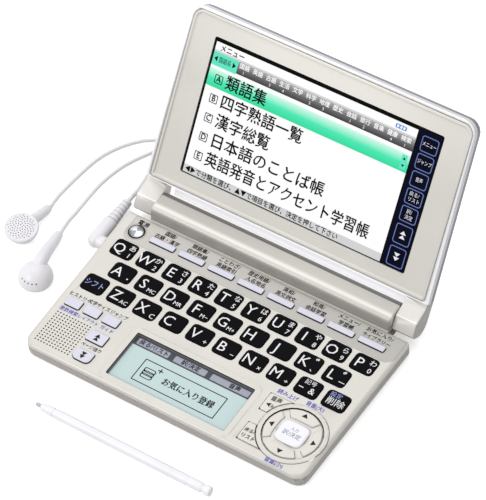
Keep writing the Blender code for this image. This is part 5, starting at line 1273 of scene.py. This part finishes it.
# Stylus: a thin white moulded stick with a soft grey nib in its stepped nose. Grooves at its other end
# set off a flared cap, by which it is pulled out of the base.
stylus_white = moulded("stylus_white", (0.86, 0.86, 0.90), 0.34, 0.3 * MM, 0.05)
nib_grey = moulded("nib_grey", (0.50, 0.50, 0.53), 0.6)
STYLUS_NIB = (-51.2, -21.6, 2.4)
NIB_LENGTH = 3.15
STYLUS_PROFILE = (
    (0.0, 0.30), (0.15, 0.66), (0.5, 0.86), (3.1, 1.02), (3.2, 1.45), (3.6, 1.72), (6.6, 2.00), (9.6, 2.15),
    (9.8, 1.95), (10.4, 1.95), (10.6, 2.22), (14.0, 2.32), (30.0, 2.36), (79.8, 2.36), (80.4, 2.20),
    (80.9, 2.20), (81.5, 2.36), (87.0, 2.26), (87.8, 1.75), (88.9, 1.75), (89.3, 2.25), (90.4, 2.40),
    (91.4, 2.40), (91.8, 2.22), (92.0, 1.70),
)
stick = bmesh.new()
lathe(stick, STYLUS_NIB, (1.0, 0.0, 0.0), STYLUS_PROFILE, 28)
for face in stick.faces:
    if face.calc_center_median().x < (STYLUS_NIB[0] + NIB_LENGTH) * MM:
        face.material_index = 1
make("stylus_stick", stick, [stylus_white, nib_grey], "base", ("stylus",), 40.0)


# Earphones: soft white leads, a right-angled plug in the jack, a splitter and two buds. The spare
# lead is put away in a round coil behind the lid.
ear_white = moulded("earphone_white", (0.80, 0.785, 0.82), 0.32)
lead_white = moulded("lead_white", (0.76, 0.75, 0.76), 0.5)
splitter = refinished("cord_splitter", "lead_splitter", [ear_white])
PLUG_X, PLUG_Z = -80.6, 3.85
PLUG_ARM = (PLUG_X, 67.5, PLUG_Z)
PLUG_PROFILE = (
    (63.9, 0.2), (64.0, 1.2), (64.4, 2.1), (65.1, 2.8), (66.1, 3.35), (67.4, 3.62), (78.8, 3.65), (79.6, 3.5),
    (80.0, 3.15), (80.1, 2.65), (94.0, 1.75), (94.2, 1.15), (97.25, 1.1),
)
grip = bmesh.new()
lathe(grip, (PLUG_X, 0.0, PLUG_Z), (0.0, 1.0, 0.0), PLUG_PROFILE)
arm = bmesh.new()
lathe(arm, PLUG_ARM, (1.0, 0.0, 0.0), ((-0.5, 3.0), (4.6, 3.3), (5.2, 3.22), (5.6, 2.9)), 28)
grip = worked(grip, [ear_white], mesh_of("arm", arm, [ear_white]), "UNION")
pin_metal = moulded("pin_metal", (0.62, 0.60, 0.55), 0.25, metallic=1.0)
pin_profile = ((5.4, 1.25), (14.2, 1.25), (14.4, 1.0), (14.9, 1.2), (16.2, 0.5))
lathe(grip, PLUG_ARM, (1.0, 0.0, 0.0), pin_profile, 16, 1)


def relief_ribs(draw, given):
    """Rings along the plug's strain relief, each a little narrower than the last."""
    ring = cylinder(draw, 28, 1.0, given["Width"])
    radius = given["Wide"] - draw.node("GeometryNodeInputIndex") * given["Taper"]
    size = draw.node("ShaderNodeCombineXYZ", {0: radius, 1: radius, 2: 1.0})
    return stamped(row_of(draw, given), ring, Rotation=(math.pi / 2, 0.0, 0.0), Scale=size)


ring_settings = {
    "Count": 6,
    "First": spot(PLUG_X, 81.3, PLUG_Z),
    "Step": Vector((0.0, 2.3, 0.0)) * MM,
    "Width": 1.6 * MM,
    "Wide": 3.05 * MM,
    "Taper": 0.15 * MM,
}
added(grip, grown("relief_ribs", ring_settings, relief_ribs, ear_white))
plug = make("plug_grip", grip, [ear_white, pin_metal], "base", ("earphone_plug",))


def smooth_route(route, spacing):
    """Points at an even spacing on a smooth curve through given route points."""
    ends = [route[0] * 2 - route[1]] + route + [route[-1] * 2 - route[-2]]
    fine = []
    for before, start, end, after in zip(ends, ends[1:], ends[2:], ends[3:]):
        for step in range(24):
            t = step / 24
            slope = (end - before) * t
            bend = (before * 2 - start * 5 + end * 4 - after) * t**2
            twist = (start * 3 - before - end * 3 + after) * t**3
            fine.append((start * 2 + slope + bend + twist) / 2)
    fine.append(route[-1])
    run = [0.0]
    for first, second in zip(fine, fine[1:]):
        run.append(run[-1] + (second - first).length)
    count = max(2, round(run[-1] / spacing))
    points = []
    place = 0
    for step in range(count + 1):
        target = run[-1] * step / count
        while place < len(run) - 2 and run[place + 1] < target:
            place += 1
        share = (target - run[place]) / (run[place + 1] - run[place])
        points.append(fine[place].lerp(fine[place + 1], min(share, 1.0)))
    return points


def pins_on_bud(draw, given):
    """Upright pins on a spiral or an arc about the bud's middle; they cut the sound holes."""
    index = draw.node("GeometryNodeInputIndex")
    reach = draw.sum("SQRT", index + 0.5) * given["Spread"] + given["Reach"]
    turn = index * given["Turn"] + given["Start"]
    x, y = draw.sum("COSINE", turn) * reach, draw.sum("SINE", turn) * reach
    place = draw.node("ShaderNodeCombineXYZ", {0: x, 1: y})
    marks = draw.node("GeometryNodePoints", {"Count": given["Count"], "Position": place})
    pin = cylinder(draw, 6, given["Hole Width"] * 0.5, given["Depth"])
    return moved(stamped(marks, pin), given["Middle"])


def tube(route, widths):
    """A round tube along a smooth route, with its radius given at even shares of its length."""
    points = smooth_route([spot(*place) for place in route], 0.9 * MM)
    shape = bmesh.new()
    rings = []
    for index, point in enumerate(points):
        ahead = (points[min(index + 1, len(points) - 1)] - points[max(index - 1, 0)]).normalized()
        aside = ahead.cross(Vector((0.0, 0.0, 1.0))).normalized()
        upright = aside.cross(ahead)
        share = index / (len(points) - 1) * (len(widths) - 1)
        low = min(int(share), len(widths) - 2)
        radius = (widths[low] + (widths[low + 1] - widths[low]) * (share - low)) * MM
        turns = [math.tau * step / 24 for step in range(24)]
        rings.append([point + (aside * math.cos(turn) + upright * math.sin(turn)) * radius for turn in turns])
    loft(shape, rings)
    return mesh_of("stem", shape, [ear_white])


hole_grey = moulded("sound_hole_grey", (0.50, 0.48, 0.51), 0.8, specular_ior_level=0.2)
slot_dark = moulded("slot_dark", (0.05, 0.05, 0.055), 0.8, specular_ior_level=0.2)
BUD_PIVOT = 4.0
BUD_LEAN_TOWARD = (0.593, -0.805)
HOLE_WIDTH = 0.62
for side, hole_look, centre, profile, pins, lean, stem, widths in (
    (
        "left",
        hole_grey,
        (-112.45, 54.2),
        (
            (0.4, 0.0), (2.4, 0.1), (4.2, 0.7), (5.8, 2.1), (6.9, 3.9), (7.5, 5.2), (7.85, 6.0), (8.0, 6.7),
            (7.95, 7.3), (7.65, 7.7), (7.25, 7.8), (7.0, 7.65), (6.8, 7.7), (4.5, 8.1), (2.2, 8.3),
            (0.05, 8.35),
        ),
        (84, 0.70, 0.0, 2.39996, 0.0, 1.8, 8.4),
        8.0,
        ((-112.2, 57.0, 4.6), (-111.9, 61.5, 4.7), (-111.5, 66.8, 3.6), (-111.2, 73.0, 2.15)),
        (2.7, 2.5, 2.4, 2.1),
    ),
    (
        "right",
        slot_dark,
        (-92.5, 36.5),
        (
            (0.4, 0.05), (4.5, 0.25), (6.8, 0.65), (7.5, 0.9), (8.0, 1.5), (8.2, 2.2), (8.1, 3.0), (7.7, 3.9),
            (6.8, 5.4), (5.6, 6.7), (4.0, 7.8), (2.2, 8.4), (0.05, 8.55),
        ),
        (5, 0.0, 6.5, math.radians(17), math.radians(-118), 2.6, 6.2),
        6.0,
        (
            (-92.6, 36.6, 3.2), (-93.1, 39.6, 5.5), (-93.9, 43.6, 6.2), (-95.2, 49.5, 5.4),
            (-96.7, 56.4, 3.6), (-98.0, 62.5, 2.15),
        ),
        (3.4, 3.3, 3.0, 2.7, 2.4, 2.1),
    ),
):
    bud = bmesh.new()
    turned(bud, centre, profile, 48)
    count, spread, reach, turn, start, depth, height = pins
    pin_settings = {
        "Count": count,
        "Spread": spread * MM,
        "Reach": reach * MM,
        "Turn": turn,
        "Start": start,
        "Hole Width": HOLE_WIDTH * MM,
        "Depth": depth * MM,
        "Middle": spot(*centre, height),
    }
    bud_looks = [ear_white, hole_look]
    bud = worked(bud, bud_looks, grown(side + "_bud_holes", pin_settings, pins_on_bud, hole_look))
    tip_axis = Vector((-BUD_LEAN_TOWARD[1], BUD_LEAN_TOWARD[0], 0.0))
    tip_over = Matrix.Rotation(math.radians(lean), 3, tip_axis)
    bmesh.ops.rotate(bud, cent=spot(*centre, BUD_PIVOT), matrix=tip_over, verts=bud.verts[:])
    lowest = min(vert.co.z for vert in bud.verts)
    bmesh.ops.translate(bud, vec=(0.0, 0.0, 0.03 * MM - lowest), verts=bud.verts[:])
    bud = worked(bud, bud_looks, tube(stem, widths), "UNION")
    make("bud_" + side, bud, bud_looks, "base", (side + "_earbud",))

MAIN_LEAD = 2.2
BRANCH = 1.7
SPLITTER_LENGTH = 14.0
SPLITTER_GAP = 0.3
COIL_MIDDLE = (0.0, 151.0)
COIL_TURNS = 4
COIL_OUTER_RADIUS = 16.4
COIL_SPACING = 2.75
COIL_TURN_POINTS = 24
COIL_LEAD_OUT = 12.0


def lead(name, points, diameter, stands_for):
    """A round lead along its points, riding on the base."""
    data = bpy.data.curves.new(name, "CURVE")
    data.dimensions = "3D"
    data.bevel_depth = diameter / 2
    data.bevel_resolution = 4
    data.use_fill_caps = True
    spline = data.splines.new("POLY")
    spline.points.add(len(points) - 1)
    for mark, point in zip(spline.points, points):
        mark.co = (*point, 1.0)
    spline.use_smooth = True
    data.materials.append(lead_white)
    made = linked(name, data)
    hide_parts(*stands_for)
    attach(made, "base")
    sum((b - a).length for a, b in zip(points, points[1:]))


lead_z = MAIN_LEAD / 2
upper_layer = lead_z + COIL_SPACING
coil_points = [spot(COIL_MIDDLE[0] - 2.2, COIL_MIDDLE[1] - COIL_OUTER_RADIUS, upper_layer)]
total_steps = 2 * COIL_TURNS * COIL_TURN_POINTS
for step in range(total_steps + 1):
    turns = step / COIL_TURN_POINTS
    radius = COIL_OUTER_RADIUS - COIL_SPACING * min(turns, 2 * COIL_TURNS - turns)
    drop = min(max((turns - COIL_TURNS + 0.25) / 0.5, 0.0), 1.0)
    height = upper_layer - COIL_SPACING * (1 - math.cos(math.pi * drop)) / 2
    angle = -math.pi / 2 + math.tau * turns
    coil_points.append(spot(*polar(COIL_MIDDLE, radius, angle), height))
coil_end = coil_points[-1] + Vector((COIL_LEAD_OUT * MM, 0.0, 0.0))
coil_points += [coil_points[-1].lerp(coil_end, 0.5), coil_end]

main_places = (
    (PLUG_X, 97.3, PLUG_Z), (PLUG_X, 99.5, PLUG_Z), (-81.2, 103.5, 2.4), (-82.3, 109.5, 1.4),
    (-82.6, 117.0, lead_z), (-78.0, 126.0, lead_z), (-66.0, 132.5, lead_z), (-46.0, 134.6, lead_z),
    (-26.0, 134.8, lead_z), (-10.0, 134.6, 2.6),
)
main_route = [spot(*place) for place in main_places]
main_route += [coil_points[0] - Vector((before * MM, 0.0, 0.0)) for before in (4.7, 0.3)]
main_points = smooth_route(main_route, 2.3 * MAIN_LEAD * MM) + coil_points
lead_nodes = ("main_lead", "lead_coil")
lead("earphone_lead", main_points, MAIN_LEAD * MM, lead_nodes)

branch_start = coil_end.x / MM + SPLITTER_GAP + SPLITTER_LENGTH + SPLITTER_GAP
for side, splitter_y, places in (
    (
        "left",
        133.45,
        (
            (-111.1796, 73.2993), (-112.1, 80.3), (-111.8, 88.0), (-111.0, 97.2), (-109.0, 110.4),
            (-104.4, 121.2), (-98.0, 129.5), (-92.0, 134.0), (-76.0, 147.0), (-50.0, 166.0), (-20.0, 180.0),
            (12.0, 180.5), (36.0, 169.0), (46.0, 151.0), (41.5, 137.6),
        ),
    ),
    (
        "right",
        135.75,
        (
            (-98.0726, 62.7911), (-99.5, 71.0), (-99.3, 77.0), (-99.5, 88.0), (-99.1, 99.9), (-96.3, 112.4),
            (-91.7, 122.4), (-86.5, 130.0), (-72.0, 142.0), (-47.0, 159.5), (-19.0, 173.5), (10.0, 174.0),
            (29.0, 164.5), (38.0, 150.5), (36.0, 140.6),
        ),
    ),
):
    places += ((branch_start + 3.4, splitter_y), (branch_start, splitter_y))
    route = [spot(x, y, BRANCH / 2) for x, y in places]
    points = list(reversed(smooth_route(route, 3.0 * BRANCH * MM)))
    lead(side + "_branch", points, BRANCH * MM, (side + "_lead",))
